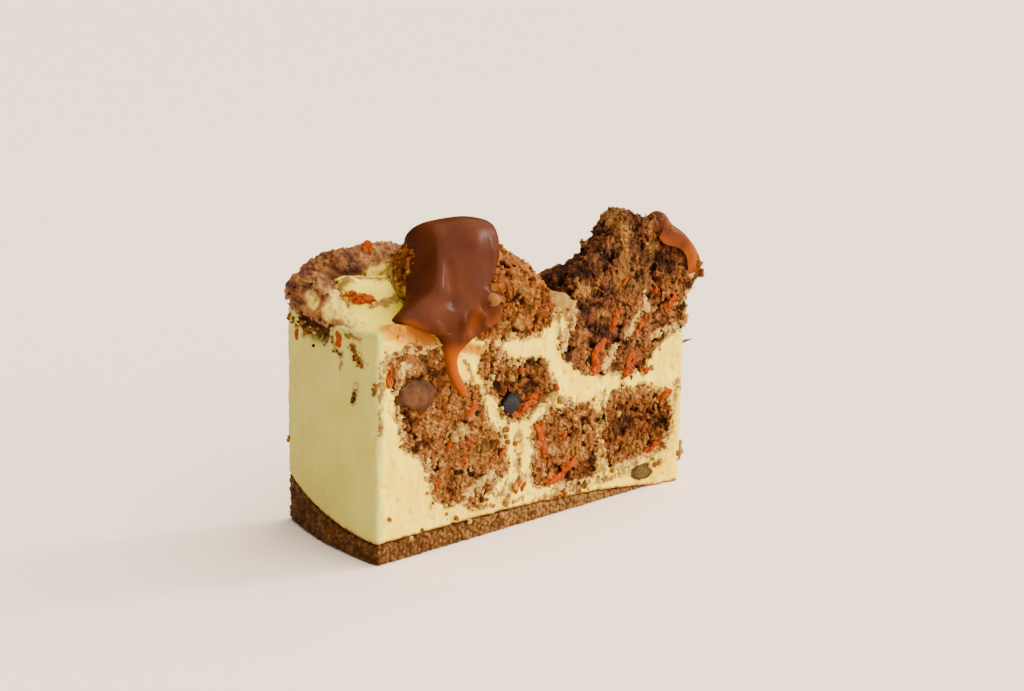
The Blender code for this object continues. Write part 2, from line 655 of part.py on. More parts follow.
def build():
    """Makes every piece, cuts each one's bed into what holds it, and centres the slice."""
    lumps = {
        "sponge_front": (FRONT_LUMP, 32, 11),
        "sponge_middle": (MIDDLE_LUMP, 22, 12),
        "sponge_lower": (LOWER_LUMP, 24, 13),
        "sponge_tip": (TIP_LUMP, 22, 14),
    }
    base = block("biscuit_base", 0.0, BASE_END, base_top, 22, 8, 2)
    filling = block("cheesecake_filling", 0.0, SLICE_LENGTH, filling_top, 26, 8, 6)
    carve(filling, block("bed", 0.0, BASE_END, base_top, 22, 8, 2, grow=GAP))

    sponges = {}
    for name, (stops, count, seed) in lumps.items():
        sponges[name] = cake_lump(name, stops, count, seed)
        carve(filling, cake_lump("bed", stops, count, seed, grow=GAP))
    tip_crown = cake_lump("crown_tip", CROWN_AT_TIP, 46, 15, crown=True)
    carve(filling, cake_lump("bed", CROWN_AT_TIP, 46, 15, grow=GAP, crown=True))
    mid_crown = middle_crown("crown_middle", 16)
    carve(filling, middle_crown("bed", 16, grow=GAP))
    rim_crown = top_lump("crown_rim", RIM_LUMP, 17)
    carve(filling, top_lump("bed", RIM_LUMP, 17, grow=GAP))
    far_crown = top_lump("crown_far", FAR_LUMP, 18)
    carve(filling, top_lump("bed", FAR_LUMP, 18, grow=GAP))
    carve(far_crown, top_lump("bed", RIM_LUMP, 17, grow=GAP))
    carve(far_crown, middle_crown("bed", 16, grow=GAP))

    pour = caramel("caramel_pour")
    for neighbour in (mid_crown, filling, sponges["sponge_front"], far_crown):
        carve(neighbour, inflated_copy(pour))
    coat = glaze("caramel_glaze")
    carve(tip_crown, inflated_copy(coat))

    pecan = nut("pecan_piece", PECAN, 21)
    carve(sponges["sponge_front"], nut("bed", PECAN, 21, grow=GAP))
    raisin = nut("raisin", RAISIN, 22)
    carve(sponges["sponge_middle"], nut("bed", RAISIN, 22, grow=GAP))
    walnut = nut("walnut_piece", WALNUT, 23)
    carve(filling, nut("bed", WALNUT, 23, grow=GAP))

    fuse(filling, [nut("nub", TIP_NUB, 24), shred(*TIP_SHRED)])
    fuse(sponges["sponge_lower"], [shred(*place) for place in LOWER_SHREDS])
    fuse(tip_crown, [shred(*place) for place in CROWN_SHREDS])

    finishes = [
        (material("biscuit", (0.26, 0.12, 0.05), 0.9), [base]),
        (material("cheesecake", (0.83, 0.73, 0.42), 0.55), [filling]),
        (material("carrot_cake", (0.32, 0.14, 0.05), 0.85), [*sponges.values()]),
        (material("browned_crown", (0.25, 0.09, 0.025), 0.8), [tip_crown, mid_crown, rim_crown, far_crown]),
        (material("caramel", (0.24, 0.07, 0.02), 0.25), [pour, coat]),
        (material("nut", (0.2, 0.08, 0.03), 0.6), [pecan, walnut]),
        (material("dried_fruit", (0.04, 0.03, 0.04), 0.5), [raisin]),
    ]
    things = []
    for finish, pieces in finishes:
        for piece in pieces:
            largest_body(piece)
            piece.data.materials.clear()
            piece.data.materials.append(finish)
            things.append(piece)
    centre(things)


for leftover in list(bpy.data.objects):
    bpy.data.objects.remove(leftover)
build()
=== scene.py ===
"""The looks of a cut slice of carrot cake cheesecake.

Lumps of carrot cake run through a wedge of cheesecake on a thin biscuit base. Four browned lumps
stand out of its top, and caramel is poured over the middle one and the tip. Places are given in
slice coordinates: "along" from the rim to the tip, "across" from -1 on the near cut to 1 on the
far cut, and "height" up from the floor.
"""

import math

import bpy
import numpy as np
from mathutils import Matrix, Vector


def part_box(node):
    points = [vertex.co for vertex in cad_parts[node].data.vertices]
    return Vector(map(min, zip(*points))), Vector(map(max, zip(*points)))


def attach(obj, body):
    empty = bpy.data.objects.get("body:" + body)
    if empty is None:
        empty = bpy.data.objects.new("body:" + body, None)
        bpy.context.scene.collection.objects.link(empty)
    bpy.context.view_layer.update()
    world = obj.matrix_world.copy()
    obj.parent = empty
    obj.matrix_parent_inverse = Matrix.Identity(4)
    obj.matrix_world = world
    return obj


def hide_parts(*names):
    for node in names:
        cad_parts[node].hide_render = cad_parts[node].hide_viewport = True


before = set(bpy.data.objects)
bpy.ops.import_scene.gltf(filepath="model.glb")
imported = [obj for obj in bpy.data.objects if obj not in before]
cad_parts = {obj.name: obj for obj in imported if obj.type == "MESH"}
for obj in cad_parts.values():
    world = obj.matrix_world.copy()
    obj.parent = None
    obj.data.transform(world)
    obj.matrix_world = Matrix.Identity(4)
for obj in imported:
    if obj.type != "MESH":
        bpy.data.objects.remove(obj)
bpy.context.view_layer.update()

# ---- Biscuit base ----------------------------------------------------------------------------
# Crushed biscuit pressed into the tin: a thin sandy sheet that thins out towards the tip and
# climbs the rim's far end, where the crumb was pushed up the side of the tin. The knife leaves
# it in grains.

MM = 0.001
SLICE_LENGTH = 115.5 * MM
HALF_ANGLE = math.radians(12.02)
TIP_HALF_WIDTH = 2.4 * MM
BASE_THICKNESS = 5.4 * MM
BASE_END = 103.5 * MM
BASE_FADE_LENGTH = 106 * MM
BASE_CLIMB = 8 * MM
BASE_CLIMB_LENGTH = 35 * MM
BASE_STEP = 0.42 * MM
BASE_SHARE = 0.7
GRAIN = 1.15 * MM
GRAIN_RELIEF = 0.46 * MM
GRAIN_REACH = 0.7
BAKED_LENGTH = 60 * MM
MARGIN = 1 * MM

base_low, base_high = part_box("biscuit_base")
TIP_X = base_low.x + SLICE_LENGTH
TIP_Y = (base_low.y + base_high.y) / 2


def half_width(along):
    """Half the slice's breadth: it falls evenly towards the tip, which stays a little blunt."""
    reach = np.maximum(SLICE_LENGTH - along, 0.0)
    return ((reach * math.sin(HALF_ANGLE)) ** 4 + TIP_HALF_WIDTH ** 4) ** 0.25


def slice_points(along, across, height):
    """Slice coordinates to points: an angle about the tip and a reach from it, with a blunt tip."""
    along, across, height = np.broadcast_arrays(along, across, height)
    swing = across * HALF_ANGLE
    x = TIP_X - (SLICE_LENGTH - along) * np.cos(swing)
    y = TIP_Y + half_width(along) * np.sin(swing) / math.sin(HALF_ANGLE)
    return np.stack([x, y, height], axis=-1)


def along_at(x):
    """How far a point lies from the rim, measured straight down the slice."""
    return x - TIP_X + SLICE_LENGTH


def slice_place(x, y):
    """Points to slice coordinates: the reach and the angle each need the other, so both are
    worked out in turn until they settle."""
    along = SLICE_LENGTH + x - TIP_X
    for _ in range(4):
        leaning = (y - TIP_Y) * math.sin(HALF_ANGLE) / half_width(along)
        swing = np.arcsin(np.clip(leaning, -0.9, 0.9))
        along = SLICE_LENGTH + (x - TIP_X) / np.cos(swing)
    return along, swing / HALF_ANGLE


def smooth_step(value):
    """Runs from 0 to 1 with level ends."""
    value = np.clip(value, 0.0, 1.0)
    return value * value * (3 - 2 * value)


def least(*depths):
    """The depth inside several solids at once, with the edges between them rounded off: the
    smallest depth, less a little wherever two are nearly alike."""
    result = depths[0]
    for depth in depths[1:]:
        near = np.clip(1 - np.abs(result - depth) / (0.9 * MM), 0, 1)
        result = np.minimum(result, depth) - near * near * 0.225 * MM
    return result


def turned(points, seed):
    """Points turned about the origin by a random rotation, so that no net lines up with a cut."""
    turn, _ = np.linalg.qr(np.random.default_rng(seed).normal(size=(3, 3)))
    return points.astype(np.float32) @ turn.astype(np.float32)


def cloud(points, size, seed):
    """Smooth noise from -1 to 1: random values at the corners of cubes of that size, and an even
    passage between them."""
    values = np.random.default_rng(seed).uniform(-1, 1, 32 ** 3).astype(np.float32)
    place = turned(points, seed) / np.float32(size) + 64
    cube = place.astype(np.int32)
    t = place - cube
    t = t * t * (3 - 2 * t)
    x, y, z = (((cube[:, k] & 31) * 32 ** (2 - k), ((cube[:, k] + 1) & 31) * 32 ** (2 - k))
               for k in range(3))
    total = 0.0
    for i, j in np.ndindex(2, 2):
        row = x[i] + y[j]
        level = values[row + z[0]] * (1 - t[:, 2]) + values[row + z[1]] * t[:, 2]
        total = total + level * (t[:, 0] if i else 1 - t[:, 0]) * (t[:, 1] if j else 1 - t[:, 1])
    return total


def grain_distance(points, size, seed):
    """Distance to the nearest of many scattered grains, in grain sizes. One grain lies near the
    middle of each cube of that size, and the eight cubes round the nearest corner are searched.
    It is true up to GRAIN_REACH, and held there beyond."""
    seeds = np.random.default_rng(seed).uniform(0.2, 0.8, (32 ** 3, 3)).astype(np.float32)
    place = turned(points, seed) / np.float32(size) + 64
    corner = np.rint(place).astype(np.int32)
    nearest = np.full(len(place), GRAIN_REACH ** 2, np.float32)
    for step in np.ndindex(2, 2, 2):
        cube = corner - np.array(step, np.int32)
        row = ((cube[:, 0] & 31) * 32 + (cube[:, 1] & 31)) * 32 + (cube[:, 2] & 31)
        gap = cube + seeds[row] - place
        nearest = np.minimum(nearest, np.einsum("ij,ij->i", gap, gap))
    return np.sqrt(nearest)


def net_surface(depth):
    """Net places and faces where the depth read on a net is nought. Each cell that the surface
    crosses has one point, the mean of the crossings on its edges, and each net edge that it
    crosses has a face between the four cells round that edge."""
    inside = depth > 0
    shape = np.array(depth.shape) - 1
    corners = [inside[i:i + shape[0], j:j + shape[1], k:k + shape[2]]
               for i, j, k in np.ndindex(2, 2, 2)]
    filled = np.sum(corners, axis=0)
    crossed = (filled > 0) & (filled < 8)
    number = np.full(crossed.shape, -1)
    number[crossed] = np.arange(crossed.sum())
    total = np.zeros((crossed.sum(), 3))
    count = np.zeros(crossed.sum())
    faces = []
    for axis in range(3):
        a, b, c = np.roll(np.eye(3, dtype=int), -axis, axis=0)
        edges = np.argwhere(np.diff(inside, axis=axis))
        first, second = depth[tuple(edges.T)], depth[tuple((edges + a).T)]
        place = edges + (first / (first - second))[:, None] * a
        quads = np.stack([number[tuple((edges - back).T)] for back in (b + c, c, 0 * c, b)], axis=1)
        count += np.bincount(quads.ravel(), minlength=len(count))
        for k in range(3):
            total[:, k] += np.bincount(quads.ravel(), np.repeat(place[:, k], 4), len(count))
        faces.append(np.where((first > second)[:, None], quads, quads[:, ::-1]))
    return total / count[:, None], np.vstack(faces)


def largest_part(points, faces):
    """Keeps the largest connected part: each point takes the lowest number among its neighbours
    until nothing changes."""
    label, changed = None, np.arange(len(points))
    a, b = faces.ravel(), np.roll(faces, -1, axis=1).ravel()
    while not np.array_equal(changed, label):
        label = changed.copy()
        lowest = np.minimum(label[a], label[b])
        np.minimum.at(changed, a, lowest)
        np.minimum.at(changed, b, lowest)
        changed = changed[changed[changed]]
    keep = label == np.bincount(label).argmax()
    return points[keep], (np.cumsum(keep) - 1)[faces[keep[faces[:, 0]]]]


def mesh_piece(name, points, faces, finish):
    """A smooth-shaded mesh object from arrays."""
    mesh = bpy.data.meshes.new(name)
    mesh.vertices.add(len(points))
    mesh.vertices.foreach_set("co", np.asarray(points, np.float32).ravel())
    corners = faces.shape[1]
    mesh.loops.add(faces.size)
    mesh.loops.foreach_set("vertex_index", faces.astype(np.int32).ravel())
    mesh.polygons.add(len(faces))
    mesh.polygons.foreach_set("loop_start", np.arange(0, faces.size, corners, dtype=np.int32))
    mesh.update(calc_edges=True)
    mesh.shade_smooth()
    piece = bpy.data.objects.new(name, mesh)
    bpy.context.scene.collection.objects.link(piece)
    mesh.materials.append(finish)
    return piece


def add_values(piece, **values):
    """Stores a named value for each point of a piece, which its material reads."""
    for name, value in values.items():
        layer = piece.data.attributes.new(name, "FLOAT", "POINT")
        layer.data.foreach_set("value", np.asarray(value, np.float32))


def piece_points(piece):
    """The points of a piece's mesh as an array."""
    points = np.empty(len(piece.data.vertices) * 3, np.float32)
    piece.data.vertices.foreach_get("co", points)
    return points.reshape(-1, 3).astype(float)


def two_ends(row):
    """The points at either end of a streak, from six slice coordinates with lengths in mm."""
    return [slice_points(end[0] * MM, end[1], end[2] * MM) for end in (row[:3], row[3:6])]


def streaked(points, streaks):
    """How strongly points lie in streaks: 1 on a streak's middle line and 0 beyond its reach. Each
    streak is (along, across, height) at either end, then its reach, with lengths in mm."""
    most = np.zeros(len(points))
    for streak in streaks:
        start, end = two_ends(streak)
        leg = end - start
        share = np.clip((points - start) @ leg / max(leg @ leg, 1e-12), 0, 1)
        away = np.linalg.norm(points - start - share[:, None] * leg, axis=1)
        most = np.maximum(most, 1 - smooth_step(away / (streak[6] * MM)))
    return most


def even_stations(low, high, step):
    """Places from low to high, a step apart."""
    return np.linspace(low, high, int(math.ceil((high - low) / step)) + 1)


def cut_stations(breadth, fine, coarse, depth):
    """Places across the slice, close together near both cuts and wide apart between them."""
    near = even_stations(breadth - depth, breadth + 3 * fine, fine)
    half = np.append(even_stations(0, breadth - depth, coarse)[1:-1], near) / breadth
    return np.concatenate([-half[::-1], [0.0], half])


def solid_piece(name, solid, stations, finish, band, share=1.0):
    """A closed mesh round a solid, read on a net of stations along, across and up. The solid's
    plain depth is read on the whole net, and its rough depth only in a band on either side of
    its skin. Flat stretches are then thinned out until only that share of the faces is left."""
    along, across, height = (row.ravel() for row in np.meshgrid(*stations, indexing="ij"))
    depth = solid(along, across, height, False)
    near = np.abs(depth) < band
    depth[near] = solid(along[near], across[near], height[near], True)
    depth = depth.reshape([len(row) for row in stations])
    for axis in range(3):
        for end in (0, -1):
            depth[tuple(end if k == axis else slice(None) for k in range(3))] = -MARGIN
    places, faces = largest_part(*net_surface(depth))
    along, across, height = (np.interp(places[:, k], np.arange(len(row)), row)
                             for k, row in enumerate(stations))
    piece = mesh_piece(name, slice_points(along, across, height), faces, finish)
    if share < 1:
        thinning = piece.modifiers.new("thinning", "DECIMATE")
        thinning.ratio = share
        graph = bpy.context.evaluated_depsgraph_get()
        piece.data = bpy.data.meshes.new_from_object(piece.evaluated_get(graph))
        piece.modifiers.clear()
        piece.data.shade_smooth()
    return piece


class Shade:
    """A value or a colour in a material. What is worked out from it becomes shader nodes."""

    def __init__(self, socket):
        """Holds the socket that the value comes out of."""
        self.socket = socket

    def node(self, kind, inputs, output=0, **settings):
        """One output of a new node, after its settings are made and its inputs filled or linked."""
        tree = self.socket.id_data
        node = tree.nodes.new(kind)
        for name, value in settings.items():
            setattr(node, name, value)
        for name, value in inputs.items():
            if isinstance(value, Shade):
                tree.links.new(value.socket, node.inputs[name])
            else:
                node.inputs[name].default_value = value
        return Shade(node.outputs[output])

    def __add__(self, other):
        """The sum of the two."""
        return self.node("ShaderNodeMath", {0: self, 1: other}, operation="ADD")

    def __mul__(self, other):
        """The product of the two."""
        return self.node("ShaderNodeMath", {0: self, 1: other}, operation="MULTIPLY")

    def __sub__(self, number):
        """This value less a number."""
        return self + -number

    def band(self, start, end):
        """Its way from start to end as 0 to 1, with level ends."""
        return self.node("ShaderNodeMapRange", {"Value": self, "From Min": start, "From Max": end},
                         interpolation_type="SMOOTHSTEP")

    def ramp(self, *stops):
        """A colour that passes through the stops, each a place from 0 to 1 and its colour."""
        shade = self.node("ShaderNodeValToRGB", {"Fac": self})
        elements = shade.socket.node.color_ramp.elements
        while len(elements) < len(stops):
            elements.new(0.5)
        for element, (place, *colour) in zip(elements, stops):
            element.position = place
            element.color = (*colour, 1.0)
        return shade

    def mix(self, first, second):
        """Two colours mixed, the second with this share."""
        first, second = (tint if isinstance(tint, Shade) else (*tint, 1.0) for tint in (first, second))
        return self.node("ShaderNodeMix", {0: self, 6: first, 7: second}, 2, data_type="RGBA")


class Finish:
    """A material in the making. Its sizes are given in millimetres."""

    def __init__(self, name, roughness, scatter=0.0, reach=(1, 1, 1), shine=0.07, **inputs):
        """Sets up the shader: its roughness, how much light scatters in it and how far, and its
        shine."""
        self.material = bpy.data.materials.new(name)
        self.material.use_nodes = True
        self.tree = self.material.node_tree
        self.shader = self.tree.nodes["Principled BSDF"]
        inputs.update(Roughness=roughness, Specular_IOR_Level=shine, Subsurface_Weight=scatter,
                      Subsurface_Radius=[colour * MM for colour in reach])
        for socket, value in inputs.items():
            self.shader.inputs[socket.replace("_", " ")].default_value = value
        self.place = Shade(self.tree.nodes.new("ShaderNodeTexCoord").outputs["Object"])

    def noise(self, size, detail=3.0, roughness=0.55, stretch=(1, 1, 1)):
        """Noise with lumps of about a size, from 0 to 1."""
        place = self.place.node("ShaderNodeMapping", {"Vector": self.place, "Scale": stretch})
        return place.node("ShaderNodeTexNoise", {"Vector": place, "Scale": 1 / (size * MM),
                                                 "Detail": detail, "Roughness": roughness})

    def read(self, name):
        """A named value of the mesh's points."""
        return self.place.node("ShaderNodeAttribute", {}, "Fac", attribute_name=name)

    def made(self, colour, relief, depth, strength):
        """The material, with its colour and its fine relief."""
        bump = relief.node("ShaderNodeBump", {"Height": relief, "Distance": depth * MM,
                                              "Strength": strength})
        self.tree.links.new(colour.socket, self.shader.inputs["Base Color"])
        self.tree.links.new(bump.socket, self.shader.inputs["Normal"])
        return self.material


def biscuit_finish():
    """Sandy brown biscuit: light grains between darker ones. The crest value darkens the hollows between
    grains: partly the biscuit's own grain tone, partly painted shade in the hollows.
    """
    biscuit = Finish("biscuit", 0.85, 0.12, (2, 1, 0.6))
    fine, slow = biscuit.noise(0.7, 4, 0.75), biscuit.noise(5)
    # The crest term paints shade in the hollows between the grains.
    grain = fine * 0.8 + biscuit.read("crest") * 0.36 + slow * 0.4 - 0.22
    colour = grain.ramp((0.25, 0.018, 0.006, 0.0018), (0.45, 0.050, 0.018, 0.0045),
                        (0.62, 0.12, 0.050, 0.0115), (0.82, 0.30, 0.16, 0.045))
    colour = (slow * 0.4).mix(colour, (0.075, 0.025, 0.006))
    return biscuit.made(colour, fine, 0.35, 0.9)


def base_top(along, across):
    """Height of the biscuit: thinner towards the tip, and climbing the far end of the rim."""
    fade = 1 - np.clip(along / BASE_FADE_LENGTH, 0, 1) ** 3.2
    climb = BASE_CLIMB * np.clip((across + 1) / 2, 0, 1) ** 1.6 * np.exp(-along / BASE_CLIMB_LENGTH)
    return BASE_THICKNESS * fade + climb


def sand(points):
    """Height of pressed crumb, from -1 between its grains to 1 on top of them."""
    return 1 - 3.2 * grain_distance(points, GRAIN, 41) ** 2 + 0.4 * cloud(points, 2.6 * MM, 42)


def base_solid(along, across, height, rough):
    """Depth inside the biscuit: the least of the depths below its top and behind its walls."""
    breadth = half_width(along)
    relief = 0.0
    if rough:
        relief = GRAIN_RELIEF * (sand(slice_points(along, across, height)) - 1.0)
    side = least((1 + across) * breadth + relief, (1 - across) * breadth + relief,
                 along + relief, BASE_END - along)
    top = base_top(along, across) - height
    return least(side, top + 0.5 * relief, height + 0.2 * relief)


base_net = [even_stations(-MARGIN, BASE_END + MARGIN, BASE_STEP),
            cut_stations(half_width(0.0), BASE_STEP, 1.2 * MM, 2.5 * MM),
            even_stations(-MARGIN, BASE_THICKNESS + BASE_CLIMB + MARGIN, BASE_STEP)]
base = solid_piece("biscuit_crumb", base_solid, base_net, biscuit_finish(), 1.5 * MM, BASE_SHARE)
spots = piece_points(base)
lighter = 0.4 * smooth_step(along_at(spots[:, 0]) / BAKED_LENGTH)
# crest is the grains' height, low between grains, where the finish paints shade.
add_values(base, crest=np.clip(0.36 + 0.5 * sand(spots) + lighter, 0, 1.4))
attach(base, "root")
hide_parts("biscuit_base")

# ---- Lumps of carrot cake --------------------------------------------------------------------
# Baked carrot cake was torn into lumps and stirred into the batter. Four of them run through the
# filling from cut to cut, and the knife opened their crumb: round clumps of small crumbs with
# open holes between them, and a ragged edge where the cream took hold.

LUMPS = {
    "sponge_front": [(19, 13.5), (24, 10.3), (30, 8.8), (36, 9.8), (42, 13), (46, 17.5), (46.3, 22.5),
        (43.5, 27), (40, 30.5), (38, 34), (35.8, 39), (31, 42), (26, 46), (22, 52.5), (13, 54.5),
        (5.5, 53.3), (3.6, 48), (6, 41), (8, 34), (10.8, 28), (16, 23)],
    "sponge_middle": [(40.5, 36.5), (44.5, 32), (50, 29.8), (57, 29.8), (62.3, 33), (62.8, 39),
        (60, 43.3), (54.5, 46), (49, 45.3), (45, 47.6), (40.6, 49.8), (37.3, 49), (36.8, 44.5)],
    "sponge_lower": [(56.5, 10), (63, 7.4), (72, 6.2), (80, 6.4), (82.8, 11), (82, 18), (82.6, 25),
        (79.5, 29), (73.5, 30.4), (66, 31.2), (60.5, 28.6), (56.5, 26), (55, 20), (55.3, 14)],
    "sponge_tip": [(86.5, 9), (94, 8), (102, 8.8), (108.3, 10.5), (111.7, 15.5), (111.3, 22),
        (108.3, 28), (102, 30.3), (94, 30), (88.3, 30.2), (84.9, 27), (84.4, 20), (84.6, 13)],
}
DRIFT_ALONG = 6 * MM
DRIFT_UP = 4 * MM
CROWN_LEAN = 7 * MM
PATTERN_HEIGHT = 62 * MM
CRUMB_STEP = 0.33 * MM
INNER_STEP = 2 * MM
CLUMP = 2.1 * MM
CRUMB = 0.95 * MM
HOLE = 2.2 * MM
BEND = 1 * MM
CUT_RELIEF = 1.1 * MM
PROUD = 0.3 * MM
EDGE_WANDER = 1.5 * MM
CUT_DEPTH = 3.2 * MM
MID_CRUMB = 0.35
NET_SQUARE = 0.5 * MM
NET_REACH = 9 * MM
OVERLAP = 0.3 * MM
LUMP_SHARE = 0.85
CRUMB_BAND = 2.8 * MM
SMEAR_REACH = 1.2 * MM


def passing(before, here, after, beyond, t):
    """A Catmull-Rom curve from here to after, at t from 0 to 1 of the way."""
    return 0.5 * (2 * here + (after - before) * t
                  + (2 * before - 5 * here + 4 * after - beyond) * t ** 2
                  + (3 * here - before - 3 * after + beyond) * t ** 3)


def smooth_outline(stops, count=160):
    """A closed Catmull-Rom curve through the stops, at evenly spaced points."""
    stops = np.array(stops, float) * MM
    around = (np.roll(stops, shift, axis=0)[:, None] for shift in (1, 0, -1, -2))
    curve = passing(*around, np.linspace(0, 1, 40, endpoint=False)[:, None]).reshape(-1, 2)
    curve = np.vstack([curve, curve[:1]])
    run = np.append(0, np.cumsum(np.linalg.norm(np.diff(curve, axis=0), axis=1)))
    wanted = np.linspace(0, run[-1], count, endpoint=False)
    return np.stack([np.interp(wanted, run, curve[:, k]) for k in range(2)], axis=-1)


def outline_depth(outline):
    """A reader of the depth inside an outline. Distances to it are worked out once on a net of
    small squares that reaches past it, and read between the net's points."""
    low = outline.min(axis=0) - NET_REACH
    count = np.ceil((outline.max(axis=0) + NET_REACH - low) / NET_SQUARE).astype(int) + 1
    net = low + NET_SQUARE * np.stack(np.meshgrid(*map(np.arange, count), indexing="ij"), axis=-1)
    flat = net.reshape(-1, 2)
    start, end = outline, np.roll(outline, -1, axis=0)
    leg = end - start
    offset = flat[:, None] - start
    share = np.clip((offset * leg).sum(axis=2) / (leg * leg).sum(axis=1), 0, 1)
    away = np.linalg.norm(offset - share[..., None] * leg, axis=2).min(axis=1)
    spans = (start[:, 1] > flat[:, 1:]) != (end[:, 1] > flat[:, 1:])
    rise = np.where(leg[:, 1] == 0, 1.0, leg[:, 1])
    crossing = start[:, 0] + (flat[:, 1:] - start[:, 1]) * leg[:, 0] / rise
    within = (spans & (flat[:, :1] < crossing)).sum(axis=1) % 2 == 1
    table = np.where(within, away, -away).reshape(count)

    def depth(along, height):
        """Depth at slice places, read evenly between the net's four nearest points."""
        u, w = (np.clip((place - start) / NET_SQUARE, 0, last - 1.001)
                for place, start, last in zip((along, height), low, count))
        i, j = u.astype(int), w.astype(int)
        u, w = u - i, w - j
        return ((table[i, j] * (1 - u) + table[i + 1, j] * u) * (1 - w)
                + (table[i, j + 1] * (1 - u) + table[i + 1, j + 1] * u) * w)
    return depth


def drift(along, height, across):
    """How far the cake pattern has slid and risen on its way from the near cut."""
    turn = (np.clip(across, -1, 1) + 1) / 2
    ends = np.sin(math.pi * np.clip(along / SLICE_LENGTH, 0, 1))
    middle = np.sin(math.pi * np.clip(height / PATTERN_HEIGHT, 0, 1))
    slid = DRIFT_ALONG * turn * ends * middle * np.sin(height / (14 * MM) + 0.8)
    above = smooth_step((height - PATTERN_HEIGHT) / (6 * MM))
    slid = slid + CROWN_LEAN * turn * above * smooth_step((96 * MM - along) / (26 * MM))
    raised = DRIFT_UP * turn * middle * np.sin(along / (21 * MM))
    near_floor, floor = base_top(along, -1.0), base_top(along + slid, across)
    share = np.clip((PATTERN_HEIGHT - height - raised) / (PATTERN_HEIGHT - near_floor), 0, 1)
    return slid, raised + (floor - near_floor) * share


def crumb(points):
    """Height of torn crumb, from -1.6 in its holes to 1 on its crests: uneven clumps that carry
    crumbs, on slow swells, less a hole wherever two clouds run high together."""
    slow = cloud(points, 3.8 * MM, 30)
    bent = points + BEND * slow[:, None] * np.array([0.6, -0.5, 0.62])
    clump = 1 - (grain_distance(bent, CLUMP, 31) / 0.5) ** 2
    fine = 1 - (grain_distance(bent, CRUMB, 32) / 0.5) ** 2
    hole = smooth_step((cloud(points, HOLE, 33) + 0.6 * cloud(points, 1 * MM, 37) - 0.36) / 0.3)
    return np.clip(0.33 * clump + 0.42 * fine + 0.3 * slow - 1.15 * hole, -1.6, 1.0)


def wander(points):
    """How far a lump's edge strays where it meets the cream."""
    return EDGE_WANDER * (cloud(points, 4.6 * MM, 34) + 0.8 * cloud(points, 2.1 * MM, 35)
                          + 0.55 * cloud(points, 0.95 * MM, 36))


def cut_closeness(across, breadth):
    """1 on either cut, fading to 0 inside the slice."""
    return 1 - smooth_step((1 - np.abs(across)) * breadth / CUT_DEPTH)


def cut_depths(across, breadth, relief):
    """Depths behind the two cuts, with the relief of open crumb."""
    relief = np.minimum(CUT_RELIEF * (relief - MID_CRUMB), PROUD)
    return (1 + across) * breadth + relief, (1 - across) * breadth + relief


def drifted_depth(outlines):
    """The most that any of several outlines holds, read where the point was on the near cut."""
    readers = [outline_depth(outline) for outline in outlines]

    def depth(along, across, height):
        """The greatest reading, after the drift is taken back in three goes."""
        first_along, first_height = along, height
        for _ in range(3):
            slid, raised = drift(first_along, first_height, across)
            first_along, first_height = along - slid, height - raised
        return np.max([reader(first_along, first_height) for reader in readers], axis=0)
    return depth


lump_depths = {name: drifted_depth([smooth_outline(stops)]) for name, stops in LUMPS.items()}


def crumb_finish(name, dark, brown, light, pale, plum=(0.36, 0.085, 0.018)):
    """Open crumb: dark in its holes and light on its crests, which is painted shade in the holes and
    painted highlight on the crests over the crumb's own tone, stained by carrot, smeared with cream
    in patches that lie close along its edge, and darkened where the oven browned it."""
    cake = Finish(name, 0.75, 0.15, (2.5, 1, 0.5))
    fine, patch = cake.noise(0.6, 4, 0.7), cake.noise(4.5)
    burnt = cake.read("burnt") * (patch * -1 + 1.35)
    # The crest term paints shade in the holes and a highlight on the crests.
    tone = cake.read("crest") * 0.72 + fine * 0.55 + patch * 0.6 + burnt * -0.23 - 0.487
    colour = tone.ramp((0.16, *dark), (0.38, *brown), (0.60, *light), (0.84, *pale))
    rust = (fine * 1.4).mix((0.05, 0.012, 0.005), plum)
    colour = (cake.noise(5).band(0.52, 0.72) * 0.4).mix(colour, rust)
    orange = (cake.read("orange") + fine * 0.5).band(0.62, 0.98)
    colour = (orange * 0.8).mix(colour, (0.32, 0.045, 0.001))
    straw = fine.ramp((0.35, 0.13, 0.048, 0.006), (0.65, 0.47, 0.235, 0.055))
    colour = (cake.read("ochre") * patch.band(0.3, 0.6) * 0.7).mix(colour, straw)
    smear = (cake.noise(1.5, 4, 0.6) + cake.read("smear") * 0.42).band(0.70, 0.86)
    colour = (smear * 0.85).mix(colour, (0.62, 0.42, 0.11))
    return cake.made(colour, fine, 0.45, 1.0)


sponge_finish = crumb_finish("carrot_cake", (0.022, 0.006, 0.0012), (0.12, 0.038, 0.006),
                             (0.255, 0.103, 0.023), (0.60, 0.37, 0.135))


def cake_solid(reader, top_relief=None):
    """The depth inside a lump: inside its shape and behind both cuts, with an edge that strays
    where a cut shows it. In the filling it makes room for the nuts, and a crown, whose relief is
    given, has a rough skin above the cream."""
    def solid(along, across, height, rough):
        """The least of the three, with an overlap past its bed so that no gap shows."""
        breadth = half_width(along)
        depth = reader(along, across, height) + OVERLAP
        relief = MID_CRUMB
        if rough:
            points = slice_points(along, across, height)
            shown, relief = cut_closeness(across, breadth), crumb(points)
            if top_relief is None:
                depth = depth + shown * wander(points)
                relief = relief - 1.6 * streaked(points, NUT_BEDS)
            else:
                above = smooth_step((height - filling_top(along, across) + 1.5 * MM) / (2 * MM))
                depth = depth + shown * (1 - above) * wander(points)
                depth = depth + above * top_relief * (relief - 0.2)
        return least(depth, *cut_depths(across, breadth, relief))
    return solid


def box_stations(node, margin, step, across):
    """The net's stations over a node's box: along and up with a margin, and those given across."""
    low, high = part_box(node)
    return [even_stations(along_at(low.x) - margin, along_at(high.x) + margin, step), across,
            even_stations(low.z - margin, high.z + margin, step)]


def on_near_cut(rows):
    """Streaks on the near cut, from rows that leave out how far across their ends are."""
    return [(start, -1, low, end, -1, high, *rest) for start, low, end, high, *rest in rows]


